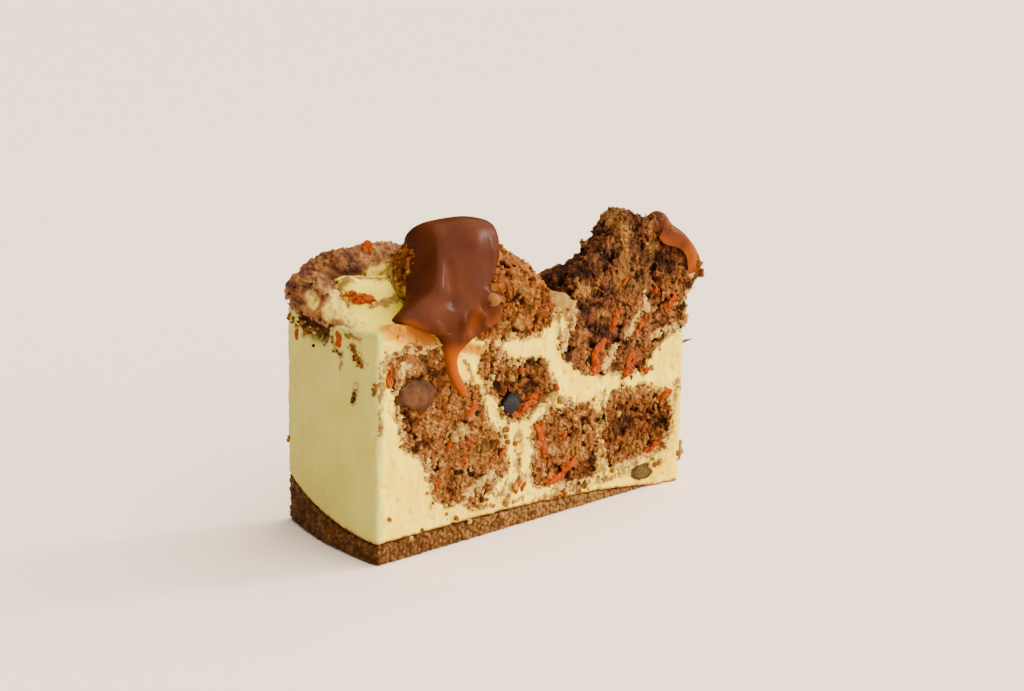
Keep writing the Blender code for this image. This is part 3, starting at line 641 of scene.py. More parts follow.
NUT_BEDS = on_near_cut([(11, 42, 15, 42, 5.5), (47, 34.2, 47, 34.2, 5)])
SMEARS = on_near_cut([(8, 49, 10, 50, 3.4), (9, 44, 7, 36, 3), (11, 53.8, 15, 53.2, 2.4),
    (6, 45, 8, 42, 2.4), (25, 28.5, 29, 30.5, 3.4), (15.5, 21, 17.5, 24.5, 1.8),
    (32, 12.5, 41, 16.5, 3.6), (47, 19, 53, 23, 3), (93, 46, 99, 52, 2.6), (84, 38, 88, 43, 3),
    (64, 61, 68, 50, 3.2), (68, 50, 67, 43, 3.2), (84, 10, 84.5, 28, 2.8), (88, 8.5, 107, 9.5, 2.6),
    (57, 8, 80, 7, 2), (104, 44, 114, 47, 2.6), (100, 57, 101, 52, 2)]) + [
    (24, 0.4, 68, 24, -0.3, 63, 5.5), (117, -1, 61, 118, 0.2, 60.5, 3)]
STAINS = on_near_cut([(32, 34, 34, 37, 2.4), (50, 31.5, 57, 34.5, 2.8), (24, 26, 25, 28, 1.8),
    (49, 9, 53.5, 12, 2.6), (104, 11, 107, 13, 2.6), (108, 25.5, 112, 28, 2.8), (87, 49, 89, 53, 2.8),
    (80, 42, 84, 45.5, 2.6), (78, 37, 83, 40, 2.8), (92, 34, 96, 38, 3), (100, 34.5, 102, 36, 2.2),
    (103, 57, 105, 58, 2.2), (109, 52, 111, 55, 2.6), (97, 47, 100, 49, 2.4), (62, 9.6, 72, 14.2, 2.6),
    (59, 26, 60.5, 17, 2.2), (3.5, 45, 4.5, 50, 2.4), (30, 21, 33, 27, 2.2)])
OCHRE = on_near_cut([(35, 19, 39, 28, 7.5), (90, 77, 93, 66, 5), (90, 62, 99, 60, 4.5),
    (70, 62, 76, 60, 3.5), (104, 70, 100, 64, 3), (50, 66, 56, 60, 4), (44, 56, 52, 54, 3.5),
    (12, 51, 20, 50, 4)]) + [(88, -0.2, 79, 96, 0.4, 79, 4)]
BURNT = on_near_cut([(75, 66, 100, 78, 13), (104, 66, 116, 64, 9), (90, 70, 112, 67, 9),
    (66, 63, 76, 55, 4), (78, 58, 100, 62, 6), (30, 61, 45, 56, 4), (72, 8, 80, 12, 4),
    (10, 46, 15, 46.5, 2.5), (44, 38, 59, 38, 6.5), (46, 44.5, 57, 43.5, 5), (91, 21, 107, 18, 8),
    (80, 50, 92, 44, 5), (17, 48, 21, 44, 3.5), (10, 51.5, 20, 50, 3.5)]) + [
    (75, 0.3, 66, 100, 0.3, 78, 13)]


def on_far_cut(streaks):
    """The streaks of the near cut, moved to where the pattern comes out on the far one."""
    rows = np.array([row for row in streaks if row[1] == row[4] == -1], float)
    for along, across, height in ((0, 1, 2), (3, 4, 5)):
        slid, raised = drift(rows[:, along] * MM, rows[:, height] * MM, 1.0)
        rows[:, along] += slid / MM
        rows[:, height] += raised / MM
        rows[:, across] = 1
    return streaks + rows.tolist()


SMEARS, STAINS, OCHRE = on_far_cut(SMEARS), on_far_cut(STAINS), on_far_cut(OCHRE)


def crumb_values(piece, edge):
    """What the crumb's finish reads at each point of a piece: the crumb's height, how near the
    piece's edge it is where a cut shows it, and the streaks of cream, carrot and browning on it."""
    points = piece_points(piece)
    smear = np.maximum(np.exp(-np.maximum(edge, 0) / SMEAR_REACH), streaked(points, SMEARS))
    # crest, the crumb's height, becomes painted shade in the holes and painted highlight on the crests.
    add_values(piece, crest=np.clip(0.55 + 0.45 * crumb(points), 0, 1), smear=smear,
               orange=streaked(points, STAINS), burnt=streaked(points, BURNT),
               ochre=streaked(points, OCHRE))


def slice_place_of(piece):
    """The slice coordinates of a piece's points."""
    points = piece_points(piece)
    return (*slice_place(points[:, 0], points[:, 1]), points[:, 2])


for lump_name, stops in LUMPS.items():
    across = cut_stations(half_width(min(stops)[0] * MM), CRUMB_STEP, INNER_STEP, CUT_DEPTH + MARGIN)
    lump_net = box_stations(lump_name, 3 * MM, CRUMB_STEP, across)
    lump = solid_piece(lump_name.replace("sponge", "crumb"), cake_solid(lump_depths[lump_name]),
                       lump_net, sponge_finish, CRUMB_BAND, LUMP_SHARE)
    crumb_values(lump, lump_depths[lump_name](*slice_place_of(lump)) + wander(piece_points(lump)))
    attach(lump, "root")
    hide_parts(lump_name)

# ---- Browned lumps of the top ----------------------------------------------------------------
# Four lumps stand out of the cream and browned in the oven: the tall one at the tip, the one
# under the caramel, a thin one along the rim and one along the far cut. Their tops are rough,
# dry crumb, and their cut sides are like the lumps below.

CROWN_AT_TIP = [(65, 47), (69, 42.5), (75, 38.8), (82, 37), (90, 35.2), (97, 34), (102, 37), (105, 42),
    (110, 44.5), (115.5, 45.5), (116.3, 51), (117.5, 56), (120, 59), (122.6, 60.5), (120, 65), (114, 70),
    (108.5, 75), (104.6, 78.2), (101, 77.2), (97.5, 79), (92.5, 80.5), (89, 79), (86, 75.5),
    (81.5, 71.5), (77, 68), (72, 64.5), (70.3, 57), (68, 51)]
MIDDLE_CROWN_NEAR = [(28, 57), (38, 52.3), (46, 51.2), (54, 51.2), (60, 53), (63, 57), (61.5, 62),
    (57, 66), (50, 69), (42, 68), (30, 62.5), (14, 60.4)]
MIDDLE_CROWN_CORE = [(27, 58), (34, 54), (43, 52.5), (55, 53.5), (63, 57), (66, 61.5), (61, 68),
    (54, 73), (47, 77.5), (36, 79), (27, 76), (22, 66)]
MIDDLE_CROWN_FAR = [(31, 62), (36, 57.5), (43, 55), (52, 55.5), (60, 58), (64, 61.5), (60, 65.5),
    (54, 69), (47, 71.5), (40, 71.5), (34, 70), (31, 66.5)]
RIM_LUMP = [(4.2, -0.5, 57.6, 1.4), (3.6, -0.2, 58.8, 2.8), (3.6, 0.08, 60.8, 4.1), (4, 0.38, 62.4, 5.1),
    (4.2, 0.7, 62.8, 5.8), (4.4, 0.98, 61.8, 4.6)]
FAR_LUMP = [(4.5, 0.88, 63, 4.4), (8, 0.84, 65.2, 5.8), (11.5, 0.78, 66.6, 6.3), (16, 0.7, 67.4, 6.6),
    (22.5, 0.76, 68.4, 6.2), (28, 0.8, 68.4, 5.4), (32.5, 0.84, 67.6, 2.4)]
CROWN_STEP = 0.38 * MM
CROWN_SHARE = 0.55
BLOCK_HEIGHT = 59 * MM
SWELL = 8.5 * MM
SWELL_END = 46 * MM
RIM_SLOPE = 12 * MM
SHOULDER = 2 * MM
SHOULDER_SLOPE = 6 * MM
SHOULDER_END = 26 * MM
FOLD_RISE = 1.9 * MM
FOLD_PLACE = 66.5 * MM
FOLD_BREADTH = 3.2 * MM


def filling_top(along, across):
    """Height of the filling: level at the near cut and swelling behind the middle of the rim
    half. It comes up as a shoulder under the caramel's foot and as a fold between the crowns."""
    behind = smooth_step((across + 0.3) / 0.6)
    near_rim = smooth_step(along / RIM_SLOPE) * smooth_step((SWELL_END - along) / (SWELL_END / 2))
    fold = FOLD_RISE * np.exp(-((along - FOLD_PLACE) / FOLD_BREADTH) ** 2)
    shoulder = smooth_step((-across - 0.45) / 0.45) * smooth_step(along / SHOULDER_SLOPE)
    shoulder = SHOULDER * shoulder * smooth_step((SHOULDER_END - along) / (SHOULDER_END / 2))
    wave = 0.5 * MM * np.sin(along / (6 * MM)) * np.sin(2.1 * across + 0.7)
    return BLOCK_HEIGHT + SWELL * behind * near_rim + fold + shoulder + wave


def smooth_run(stops, count):
    """Evenly spaced ways along the stops, and each of the stops' values there, read along an open
    Catmull-Rom curve. All are columns."""
    stops = np.array(stops)
    way = np.linspace(0, len(stops) - 1, count)[:, None]
    padded = np.vstack([2 * stops[0] - stops[1], stops, 2 * stops[-1] - stops[-2]])
    cell = np.clip(np.floor(way).astype(int), 0, len(stops) - 2)
    curve = passing(*(padded[cell[:, 0] + k] for k in range(4)), way - cell)
    return way, *(column[:, None] for column in curve.T)


def middle_crown_depth():
    """The depth inside the lump under the caramel: its core's, turning into a cut's near it."""
    near, core, far = (outline_depth(smooth_outline(stops))
                       for stops in (MIDDLE_CROWN_NEAR, MIDDLE_CROWN_CORE, MIDDLE_CROWN_FAR))

    def depth(along, across, height):
        """A mean of two readings, by how near the cut is."""
        turn = smooth_step(np.abs(across)) ** 1.6
        side = np.where(across < 0, near(along, height), far(along, height))
        return core(along, height) * (1 - turn) + side * turn
    return depth


def roll_depth(stops):
    """The depth inside an uneven roll: the most that any of many balls along it holds."""
    _, along, across, height, radius = smooth_run(stops, 24)
    centres = slice_points(along * MM, across, height * MM)

    def depth(along, across, height):
        """Each ball's radius less the distance to its middle, where a ball can be near."""
        most = np.full(len(along), -4 * MM)
        close = (height > 50 * MM) & (along < 45 * MM)
        points = slice_points(along[close], across[close], height[close])
        inside = most[close]
        for centre, size in zip(centres, radius * MM):
            inside = np.maximum(inside, size - np.linalg.norm(points - centre, axis=1))
        most[close] = inside
        return most
    return depth


tip_outline = smooth_outline(CROWN_AT_TIP, count=240)
crown_depths = {"crown_tip": drifted_depth([tip_outline]), "crown_middle": middle_crown_depth(),
                "crown_rim": roll_depth(RIM_LUMP), "crown_far": roll_depth(FAR_LUMP)}


def skin_finish():
    """Baked skin of cream and cake stirred together: brown, tan, khaki and plum-brown in drawn-out
    swirls, with the cream and carrot that are painted on it, and painted shade in its grooves and
    under the caramel's edge."""
    crust = Finish("browned_skin", 0.6, 0.15, (2.5, 1, 0.5))
    fine, swirl = crust.noise(0.7, 4, 0.7), crust.noise(3.4, 4, 0.6, (1.0, 0.35, 1.0))
    smear = crust.read("smear")
    tone = swirl * 0.9 + fine * 0.35 + smear * 0.45 - 0.15
    colour = tone.ramp((0.30, 0.035, 0.013, 0.010), (0.42, 0.13, 0.048, 0.022),
                       (0.52, 0.26, 0.105, 0.028), (0.64, 0.36, 0.20, 0.055),
                       (0.80, 0.62, 0.46, 0.13))
    orange = (crust.read("orange") + fine * 0.5).band(0.62, 0.98)
    colour = (orange * 0.85).mix(colour, (0.34, 0.055, 0.001))
    colour = (smear + swirl * 1.2).band(1.0, 1.3).mix(colour, (0.74, 0.56, 0.09))
    # The dark streaks are painted shade.
    colour = (crust.read("dark") * 0.8).mix(colour, (0.045, 0.016, 0.012))
    return crust.made(colour, fine, 0.4, 0.9)


TOP_CREAM = [(9, -0.16, 60, 1.2, -0.19, 62, 4.5), (5, -0.8, 59, 3.5, -0.1, 62.5, 6),
    (0, -0.1, 61, 6, -0.05, 64, 4.5), (4.4, 0.04, 66, 10.5, 0.19, 67, 3.6),
    (-0.2, 0.13, 62.4, 1, 0.3, 64, 2.6), (18, 0.41, 67.5, 24, 0.45, 68.5, 3.6)]
TOP_CARROT = [(4.5, -0.06, 64, 14, 0, 63, 3.2), (18.5, 0.58, 73.5, 20, 0.62, 73, 2.4),
    (0, -0.32, 55.3, 0.2, -0.3, 57, 1.7), (0, 0.64, 51.5, 0, 0.66, 54.5, 1.6),
    (10, 0.62, 71, 14, 0.7, 73, 1.4)]
# Painted shade: in the grooves of the browned skin along the rim and under the caramel's edge.
TOP_SHADE = [(-0.6, 0.6, 59.5, 0.9, 0.35, 66, 1.8), (1, 0.36, 66, 8.4, 0.52, 66.7, 1.8),
    (8.4, 0.5, 67, 16.4, 0.42, 69.4, 2.6), (21.4, 0, 63, 24, 0.05, 63.5, 2.2)]
crown_finish = crumb_finish("browned_cake", (0.017, 0.0045, 0.001), (0.105, 0.028, 0.004),
                            (0.26, 0.085, 0.012), (0.52, 0.24, 0.045))
tip_finish = crumb_finish("browned_tip_cake", (0.014, 0.0045, 0.0015), (0.085, 0.026, 0.0060),
                          (0.22, 0.082, 0.019), (0.50, 0.28, 0.075), (0.25, 0.080, 0.045))
skin = skin_finish()
# Each crown's relief and its net's margin are in mm.
CROWNS = [("crown_tip", 1.4, 2, tip_finish), ("crown_middle", 1.2, 2, crown_finish),
          ("crown_rim", 0.95, 2, skin), ("crown_far", 0.85, 6, skin)]
for crown_name, relief, margin, finish in CROWNS:
    widest = half_width(max(along_at(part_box(crown_name)[0].x), 0))
    reach = 1 + MARGIN / widest
    crown_net = box_stations(crown_name, margin * MM, CROWN_STEP,
                             even_stations(-reach, reach, CROWN_STEP / widest))
    solid = cake_solid(crown_depths[crown_name], relief * MM)
    crown = solid_piece(crown_name.replace("crown", "browned"), solid, crown_net, finish,
                        CRUMB_BAND, CROWN_SHARE)
    points = piece_points(crown)
    if finish is skin:
        add_values(crown, smear=streaked(points, TOP_CREAM), orange=streaked(points, TOP_CARROT),
                   dark=streaked(points, TOP_SHADE))
    else:
        along, across, height = slice_place_of(crown)
        above = smooth_step((height - filling_top(along, across)) / (2 * MM))
        edge = crown_depths[crown_name](along, across, height) + wander(points)
        crumb_values(crown, edge + above * 9 * MM)
    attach(crown, "root")
    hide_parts(crown_name)

# ---- Cheesecake filling ----------------------------------------------------------------------
# Baked vanilla cheesecake, poured round the lumps. The tin leaves its rim smooth, the knife
# draws it out into faint smears and small pits, and its top is dimpled. Crumbs dragged along by
# the knife lie in its cut.

FILLING_STEP = 0.46 * MM
FILLING_SHARE = 0.49
SMEAR = 0.42 * MM
PIT = 0.75 * MM
CREAM_TOP_RELIEF = 0.5 * MM
CAVITY = (0, 0.02, 56.2, 0, 0.4, 57, 4.8)
CAVITY_DEPTH = 2.4 * MM
SANDY_REACH = 1.4 * MM
VEIL_REACH = 2.4 * MM


def cream_relief(points):
    """Height of cut cream: long low smears, and pits where a fine cloud runs high."""
    drawn = points * np.array([1.0, 1.0, 0.35])
    pits = smooth_step((cloud(points, 1.7 * MM, 52) + 0.4 * cloud(points, 0.9 * MM, 55) - 0.5) / 0.3)
    return SMEAR * (cloud(drawn, 2.4 * MM, 51) + 0.5 * cloud(drawn, 1.1 * MM, 56) - 0.8) - PIT * pits


bed_depths = [drifted_depth([*map(smooth_outline, LUMPS.values()), tip_outline]),
              *(crown_depths[name] for name in ("crown_middle", "crown_rim", "crown_far"))]


def beds_depth(along, across, height):
    """The most that any lump's shape holds, in the filling or on top."""
    return np.max([depth(along, across, height) for depth in bed_depths], axis=0)


def filling_solid(along, across, height, rough):
    """Depth inside the filling: the wedge between biscuit and top, less every lump's bed."""
    breadth = half_width(along)
    near, far, rim = (1 + across) * breadth, (1 - across) * breadth, along
    top = filling_top(along, across) - height
    bed = beds_depth(along, across, height)
    if rough:
        points = slice_points(along, across, height)
        relief = cream_relief(points)
        near, far = near + relief, far + relief
        rim = rim + 0.25 * relief - 0.05 * MM
        torn = streaked(points, [CAVITY])
        rim = rim - CAVITY_DEPTH * smooth_step(torn / 0.6) * (0.75 - 0.45 * crumb(points))
        top = top + CREAM_TOP_RELIEF * cloud(points, 3.2 * MM, 53)
        bed = bed + cut_closeness(across, breadth) * wander(points)
    floor = height - base_top(along, across) * (along < BASE_END)
    return least(near, far, rim, SLICE_LENGTH - along, top, floor, 0.1 * MM - bed)


def cream_finish():
    """Pale yellow cheesecake: crumbs of cake and biscuit lie in it near the lumps and the base,
    and it is golden where caramel soaked in. Its rim wall is darker and duller, partly its own
    colour and partly painted shade of the rim face; the cavity under the rim lump carries painted
    shade over dark crumb, and the fold between the crowns painted shade over its crumbs."""
    cream = Finish("cheesecake", 0.55, 0.2, (4, 3, 1.4), 0.03)
    slow, fine, speck = cream.noise(9), cream.noise(1.2, 3, 0.6, (1, 1, 0.65)), cream.noise(1.5, 5, 0.7)
    rim, crumbs = cream.read("rim"), cream.read("crumbs")
    # The rim wall's colour, about half as bright as the cut's: partly the rim's own colour, partly
    # painted shade of the rim face.
    wall_tone_and_shade = slow.ramp((0.3, 0.50, 0.47, 0.085), (0.7, 0.57, 0.55, 0.13))
    colour = rim.mix(slow.ramp((0.32, 0.84, 0.59, 0.022), (0.68, 0.97, 0.77, 0.06)), wall_tone_and_shade)
    golden = cream.read("stain") + speck * 0.5
    colour = golden.band(0.25, 0.8).mix(colour, (0.56, 0.25, 0.0005))
    colour = golden.band(0.7, 1.2).mix(colour, (0.38, 0.145, 0.0005))
    soaked = cream.read("soaked") + speck * 0.5
    colour = soaked.band(0.45, 1.05).mix(colour, (0.20, 0.050, 0.001))
    brown = fine.ramp((0.35, 0.07, 0.022, 0.004), (0.65, 0.28, 0.12, 0.022))
    # Crumbs on the rim wall are darker: partly painted shade of the rim face.
    brown = (rim * 0.75).mix(brown, (0.050, 0.022, 0.006))
    colour = ((speck + crumbs * 0.36).band(0.69, 0.83) * 0.9).mix(colour, brown)
    colour = (crumbs * cream.noise(3) * 0.5).mix(colour, (0.35, 0.21, 0.07))
    sandy = speck * 0.9 + cream.read("sandy")
    colour = sandy.band(0.82, 1.25).mix(colour, (0.20, 0.078, 0.018))
    # Painted shade, over dark crumb, in the cavity under the rim lump.
    pit = cream.read("torn") + speck * 0.9
    shadow = fine.ramp((0.38, 0.012, 0.004, 0.001), (0.62, 0.11, 0.040, 0.010))
    colour = pit.band(0.75, 1.1).mix(colour, shadow)
    orange = cream.read("orange") + speck * 0.5
    colour = orange.band(0.7, 0.95).mix(colour, (0.34, 0.050, 0.001))
    return cream.made(colour, fine, 0.35, 0.6)


RIM_CRUMBS = [(0, 0.05, 56.5, 0, 0.45, 57, 6.5), (0, 0.1, 58, 0, -0.2, 58, 3.6),
    (0, -0.58, 54.6, 0, -0.74, 51, 3.2), (0, -0.64, 44.5, 0, -0.6, 41, 2.4),
    (0, -0.4, 52, 0, -0.36, 48, 1.8), (0, -0.95, 46, 0, -0.9, 44, 1.8), (0, -0.2, 55, 0, -0.3, 52, 2),
    (0, -0.45, 57.5, 0, -0.7, 57, 1.8), (0, 0.62, 54, 0, 0.85, 56, 2.4), (0, 0.95, 24, 0, 0.99, 18, 2),
    (17.6, -0.07, 61.4, 23, 0, 63.2, 3.8), (6, 0.2, 63.3, 11, 0.28, 67.4, 4.4),
    (12, 0.3, 67.9, 22, 0.2, 66.8, 2.6), (9, 0.05, 63.6, 14, 0.02, 63.6, 2.6),
    (12, -0.1, 62, 17, -0.08, 61.5, 2)]
CUT_CRUMBS = on_near_cut([(84, 9, 83.5, 30, 4.5), (84, 10, 84, 20, 6), (38, 40, 41, 53, 5),
    (57, 5.5, 108, 6.5, 3.2), (50, 16, 50, 25, 4), (43, 10, 53, 13, 4), (61, 28, 64, 34, 3.5),
    (67, 60.5, 70.5, 51, 4.2), (64, 57, 67, 47, 2.6), (29, 50, 33, 43, 2), (44, 26, 48, 31, 2),
    (110, 12, 114, 30, 3.5), (2, 46, 3, 54, 2.5), (46, 13, 47, 8, 2.2), (34, 8, 52, 7, 1.8),
    (1, 52, 1, 34, 1.8)]) + [(66, -1, 60, 66, -0.2, 61, 5)]
# Where painted shade, over dark crumb, fills the cavity under the rim lump.
CAVITY_SHADE = [(0, -0.04, 56, 0, 0.46, 57, 6)]
# Crumbs in the fold between the crowns; their brown veil also stands as painted shade in the fold.
FOLD_CRUMBS_AND_SHADE = [(67, -1, 60.5, 67, 0.6, 61, 7), (64, -0.95, 60.5, 71, -0.5, 61, 4),
    (67, -0.6, 61.2, 69, 0.6, 61.5, 5.5)]
SOAKED = [(12, -0.98, 60, 19, -0.98, 54, 4.6), (7, -0.98, 61.4, 14, -0.98, 60.5, 1.8)]
GOLDEN = [(5, -0.98, 60.4, 13, -0.98, 57, 5), (6, -0.85, 61, 12, -0.9, 61, 3),
    (28, -1, 52.5, 36, -1, 50, 2.5)]
filling_net = [even_stations(-MARGIN, SLICE_LENGTH + MARGIN, FILLING_STEP),
               cut_stations(half_width(0.0), FILLING_STEP, 0.7 * MM, CUT_DEPTH),
               even_stations(-MARGIN, BLOCK_HEIGHT + SWELL + 3 * MM, FILLING_STEP)]
filling = solid_piece("baked_cream", filling_solid, filling_net, cream_finish(), 2.2 * MM,
                      FILLING_SHARE)
spots = piece_points(filling)
along, across, height = slice_place_of(filling)
nearest_lump = np.minimum(beds_depth(along, across, height) + wander(spots), 0)
base_gap = np.maximum(height - base_top(along, across), 0)
dragged = np.maximum(np.exp(nearest_lump / SMEAR_REACH), 0.5 * np.exp(nearest_lump / VEIL_REACH))
dragged = np.maximum(dragged, streaked(spots, RIM_CRUMBS + CUT_CRUMBS))
# The fold's streaks add crumbs and painted shade in the fold between the crowns.
# rim is 1 on the rim wall, whose darker colour is partly painted shade.
# torn marks the cavity under the rim lump, where the finish paints shade.
add_values(filling, crumbs=dragged + streaked(spots, FOLD_CRUMBS_AND_SHADE),
           sandy=np.exp(-base_gap / SANDY_REACH), stain=streaked(spots, GOLDEN),
           soaked=streaked(spots, SOAKED), orange=streaked(spots, TOP_CARROT),
           torn=streaked(spots, CAVITY_SHADE), rim=smooth_step(1.5 - along / (2 * MM)))
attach(filling, "root")
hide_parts("cheesecake_filling")

# ---- Caramel ---------------------------------------------------------------------------------
# Soft butter caramel, poured from behind the middle lump over its top and down the near cut. It
# sets as a thick tongue with full rounded edges, and its last drop runs thin and clear.

CARAMEL_STOPS = [(0.52, 73, 30, 42, 1.2, 0), (0.32, 76.5, 27, 46, 2.6, 2), (0, 78.8, 25.8, 47.5, 3.4, 6),
    (-0.3, 78.6, 24.9, 48.4, 3.6, 8), (-0.55, 74, 22.8, 47.2, 3.4, 9), (-0.75, 68, 18.2, 43.5, 3, 7),
    (-0.92, 62.8, 8.2, 42.5, 2.5, 2.8), (-1, 59.6, 12, 42, 2.1, 0.8), (-1, 56.8, 18.8, 40.5, 1.9, 0),
    (-1, 53.8, 21.6, 31.5, 1.8, 0), (-1, 50.6, 22.6, 26.6, 1.6, 0), (-1, 46.8, 23.4, 26.6, 1.5, 0),
    (-1, 43.2, 25.4, 28.6, 1.4, 0), (-1, 39.6, 28.2, 30.2, 1, 0)]
CARAMEL_RIDGES = [(34.5, -0.8, 75, 32.5, -1.03, 66, 3, 1.5), (39.5, -0.74, 76, 37.5, -1, 66, 2.6, -2.4),
    (44, -0.6, 77, 42.5, -0.9, 67.5, 3, 1.6), (37.4, -1, 64.5, 38.6, -0.98, 61.5, 2.8, 1.8),
    (40.5, -1, 69, 37, -1, 66.5, 2.4, -1.2), (33, -1, 64.6, 35.4, -1, 61.5, 1.6, -1.4),
    (26.3, -1.05, 54.5, 26.6, -1.05, 59.5, 1.9, 1.4), (26.6, -1.05, 59.5, 30, -1.05, 62.2, 1.9, 1.3),
    (30, -1.05, 62.2, 34, -1.05, 60, 1.9, 1.2), (34, -1.05, 60, 35.8, -1, 55.5, 1.8, 1),
    (30.5, -1.03, 57, 31, -1.03, 59, 3.6, -1.2), (8.5, -0.98, 60, 16.5, -1.05, 57.2, 2.2, 0.8),
    (17.5, -1.05, 58.6, 21.5, -1.05, 55.4, 3, 1.3), (24, -0.6, 77, 22, -0.8, 67, 5, 0.7),
    (28, -0.7, 73, 25, -0.95, 64, 3.2, -0.9), (30, -0.5, 80, 40, -0.55, 79, 3.5, -0.7)]
CLEAR = [(30, -1, 55, 33, -1, 60, 3.4), (38, -1, 56, 41, -1, 57, 4.4), (9, -1, 61, 17, -1, 58, 2.2),
    (47, -0.3, 75, 46, -0.6, 69, 3)]
CARAMEL_SOAK = 1 * MM
CARAMEL_FOLD = 0.55 * MM
GLAZE_STOPS = [(97.5, 77.6, 0.3, 0.5), (100.5, 76.6, 0.6, 0.8), (103.4, 76.2, 0.95, 1.4),
    (106.4, 76.6, 1.25, 2.9), (109.6, 73.4, 1.4, 2.8), (114.4, 69.4, 1.46, 2.7),
    (118.4, 65.4, 1.42, 2.3), (121.4, 62.4, 0.7, 1.2)]
GLAZE_DROOP = 3.6 * MM
GLAZE_FOLD = 0.7 * MM


def bead(angle, thickness, soak):
    """Section of a thick sauce: a full rounded top side and a shallow soaked-in underside."""
    lift = np.sign(np.sin(angle)) * np.abs(np.sin(angle)) ** 0.55
    return np.where(lift > 0, lift * thickness, lift * soak)


def round_angles(count):
    """Angles evenly round a circle, in a row."""
    return np.linspace(0, 2 * math.pi, count, endpoint=False)[None, :]


def closed_roll(rings):
    """Points and faces of a skin over a stack of rings, with a pole at each end."""
    stack, around = rings.shape[:2]
    points = np.vstack([rings.reshape(-1, 3), rings[0].mean(axis=0), rings[-1].mean(axis=0)])
    grid = np.arange(stack * around).reshape(stack, around)
    after = np.roll(grid, -1, axis=1)
    sides = np.stack([grid[:-1], after[:-1], after[1:], grid[1:]], axis=-1).reshape(-1, 4)
    caps = [np.stack([0 * grid[0] + len(points) - 2, after[0], grid[0]], axis=-1),
            np.stack([0 * grid[0] + len(points) - 1, grid[-1], after[-1]], axis=-1)]
    halves = np.vstack([sides[:, [0, 1, 2]], sides[:, [0, 2, 3]], *caps])
    volume = np.einsum("ij,ij->i", points[halves[:, 0]],
                       np.cross(points[halves[:, 1]], points[halves[:, 2]])).sum()
    return points, halves if volume > 0 else halves[:, ::-1]


def caramel_finish():
    """Milky brown caramel, a little clearer and more orange where it is thin."""
    sauce = Finish("caramel", 0.5, 0.12, (4, 1.5, 0.6), 0.0, Coat_Weight=0.09, Coat_Roughness=0.28)
    colour = sauce.noise(8, 2).ramp((0.3, 0.046, 0.0102, 0.0030), (0.7, 0.072, 0.0172, 0.0050))
    colour = sauce.read("thin").mix(colour, (0.26, 0.052, 0.0006))
    return sauce.made(colour, sauce.noise(3.5), 0.8, 0.4)


way, pour_across, *lengths = smooth_run(CARAMEL_STOPS, 150)
pour_height, left, right, thick, hang = (length * MM for length in lengths)
middle = (left + right) / 2
down_w, down_z = np.gradient(pour_across * half_width(middle), axis=0), np.gradient(pour_height, axis=0)
length = np.hypot(down_w, down_z)
angle = round_angles(112)
tuck = np.interp(way, [4, 6], [9, 3])
along = middle + np.cos(angle) * (right - left) / 2
rise = bead(angle, thick, CARAMEL_SOAK) - hang * np.clip(-np.cos(angle), 0, 1) ** tuck
width = pour_across * half_width(along)
plain = np.stack([along, width, pour_height + 0 * along], axis=-1)
fold = CARAMEL_FOLD * cloud(plain.reshape(-1, 3), 6.5 * MM, 61).reshape(along.shape)
laid = slice_points(along, width / half_width(along), pour_height).reshape(-1, 3)
for *ridge, lift in CARAMEL_RIDGES:
    fold = fold + lift * MM * streaked(laid, [ridge]).reshape(along.shape)
rise = rise + fold * np.clip(np.sin(angle), 0, 1) ** 0.5 * np.minimum(thick / (1.8 * MM), 1)
width = width + rise * down_z / length
height = pour_height - rise * down_w / length
points, faces = closed_roll(slice_points(along, width / half_width(along), height))
pour_finish = caramel_finish()
pour = mesh_piece("poured_caramel", points, faces, pour_finish)
drop = smooth_step((55 * MM - points[:, 2]) / (5 * MM))
add_values(pour, thin=np.maximum(drop, 0.45 * streaked(points, CLEAR)))
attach(pour, "root")
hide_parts("caramel_pour")

way, run_along, run_height, breadth, thick = smooth_run(GLAZE_STOPS, 90)
run_along, run_height, thick = run_along * MM, run_height * MM, thick * MM
ahead_s, ahead_z = np.gradient(run_along, axis=0), np.gradient(run_height, axis=0)
length = np.hypot(ahead_s, ahead_z)
angle = round_angles(72)
droop = GLAZE_DROOP * np.clip(breadth - 0.3, 0, 1) * (1 + 0.3 * np.sin(2.2 * way))
rise = bead(angle, thick, CARAMEL_SOAK) - droop * np.abs(np.cos(angle)) ** 3
across = np.cos(angle) * breadth
laid = slice_points(run_along, across, run_height).reshape(-1, 3)
rise = rise + GLAZE_FOLD * cloud(laid, 4.2 * MM, 62).reshape(rise.shape)
along, height = run_along - rise * ahead_z / length, run_height + rise * ahead_s / length
points, faces = closed_roll(slice_points(along, across, height))
glaze = mesh_piece("tip_glaze", points, faces, pour_finish)
glaze_end = smooth_step((along_at(points[:, 0]) - 112 * MM) / (9 * MM))
add_values(glaze, thin=np.clip(0.2 + 0.4 * cloud(points, 3 * MM, 63) + 0.6 * glaze_end, 0, 1))
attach(glaze, "root")
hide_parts("caramel_glaze")

# ---- Nuts and fruit in the cut ---------------------------------------------------------------
# A pecan half, a raisin and a piece of walnut that the knife laid bare: uneven egg shapes sunk
# into the crumb, pressed low where they stand past the cut.

PECAN = (13, 42, 5.6, 3.6, 5.0)
RAISIN = (47, 34.2, 3.3, 2.5, 3.2)
WALNUT = (100.5, 5.2, 3.6, 2.2, 2.2)
NUT_SHARE = 0.2


def ball_grid(rows, columns):
    """A sphere's grid without its poles, which stand on its second axis."""
    polar = np.linspace(0, math.pi, rows + 2)[1:-1, None]
    angle = round_angles(columns)
    return np.stack(np.broadcast_arrays(np.cos(angle) * np.sin(polar), -np.cos(polar),
                                        np.sin(angle) * np.sin(polar)), axis=-1)


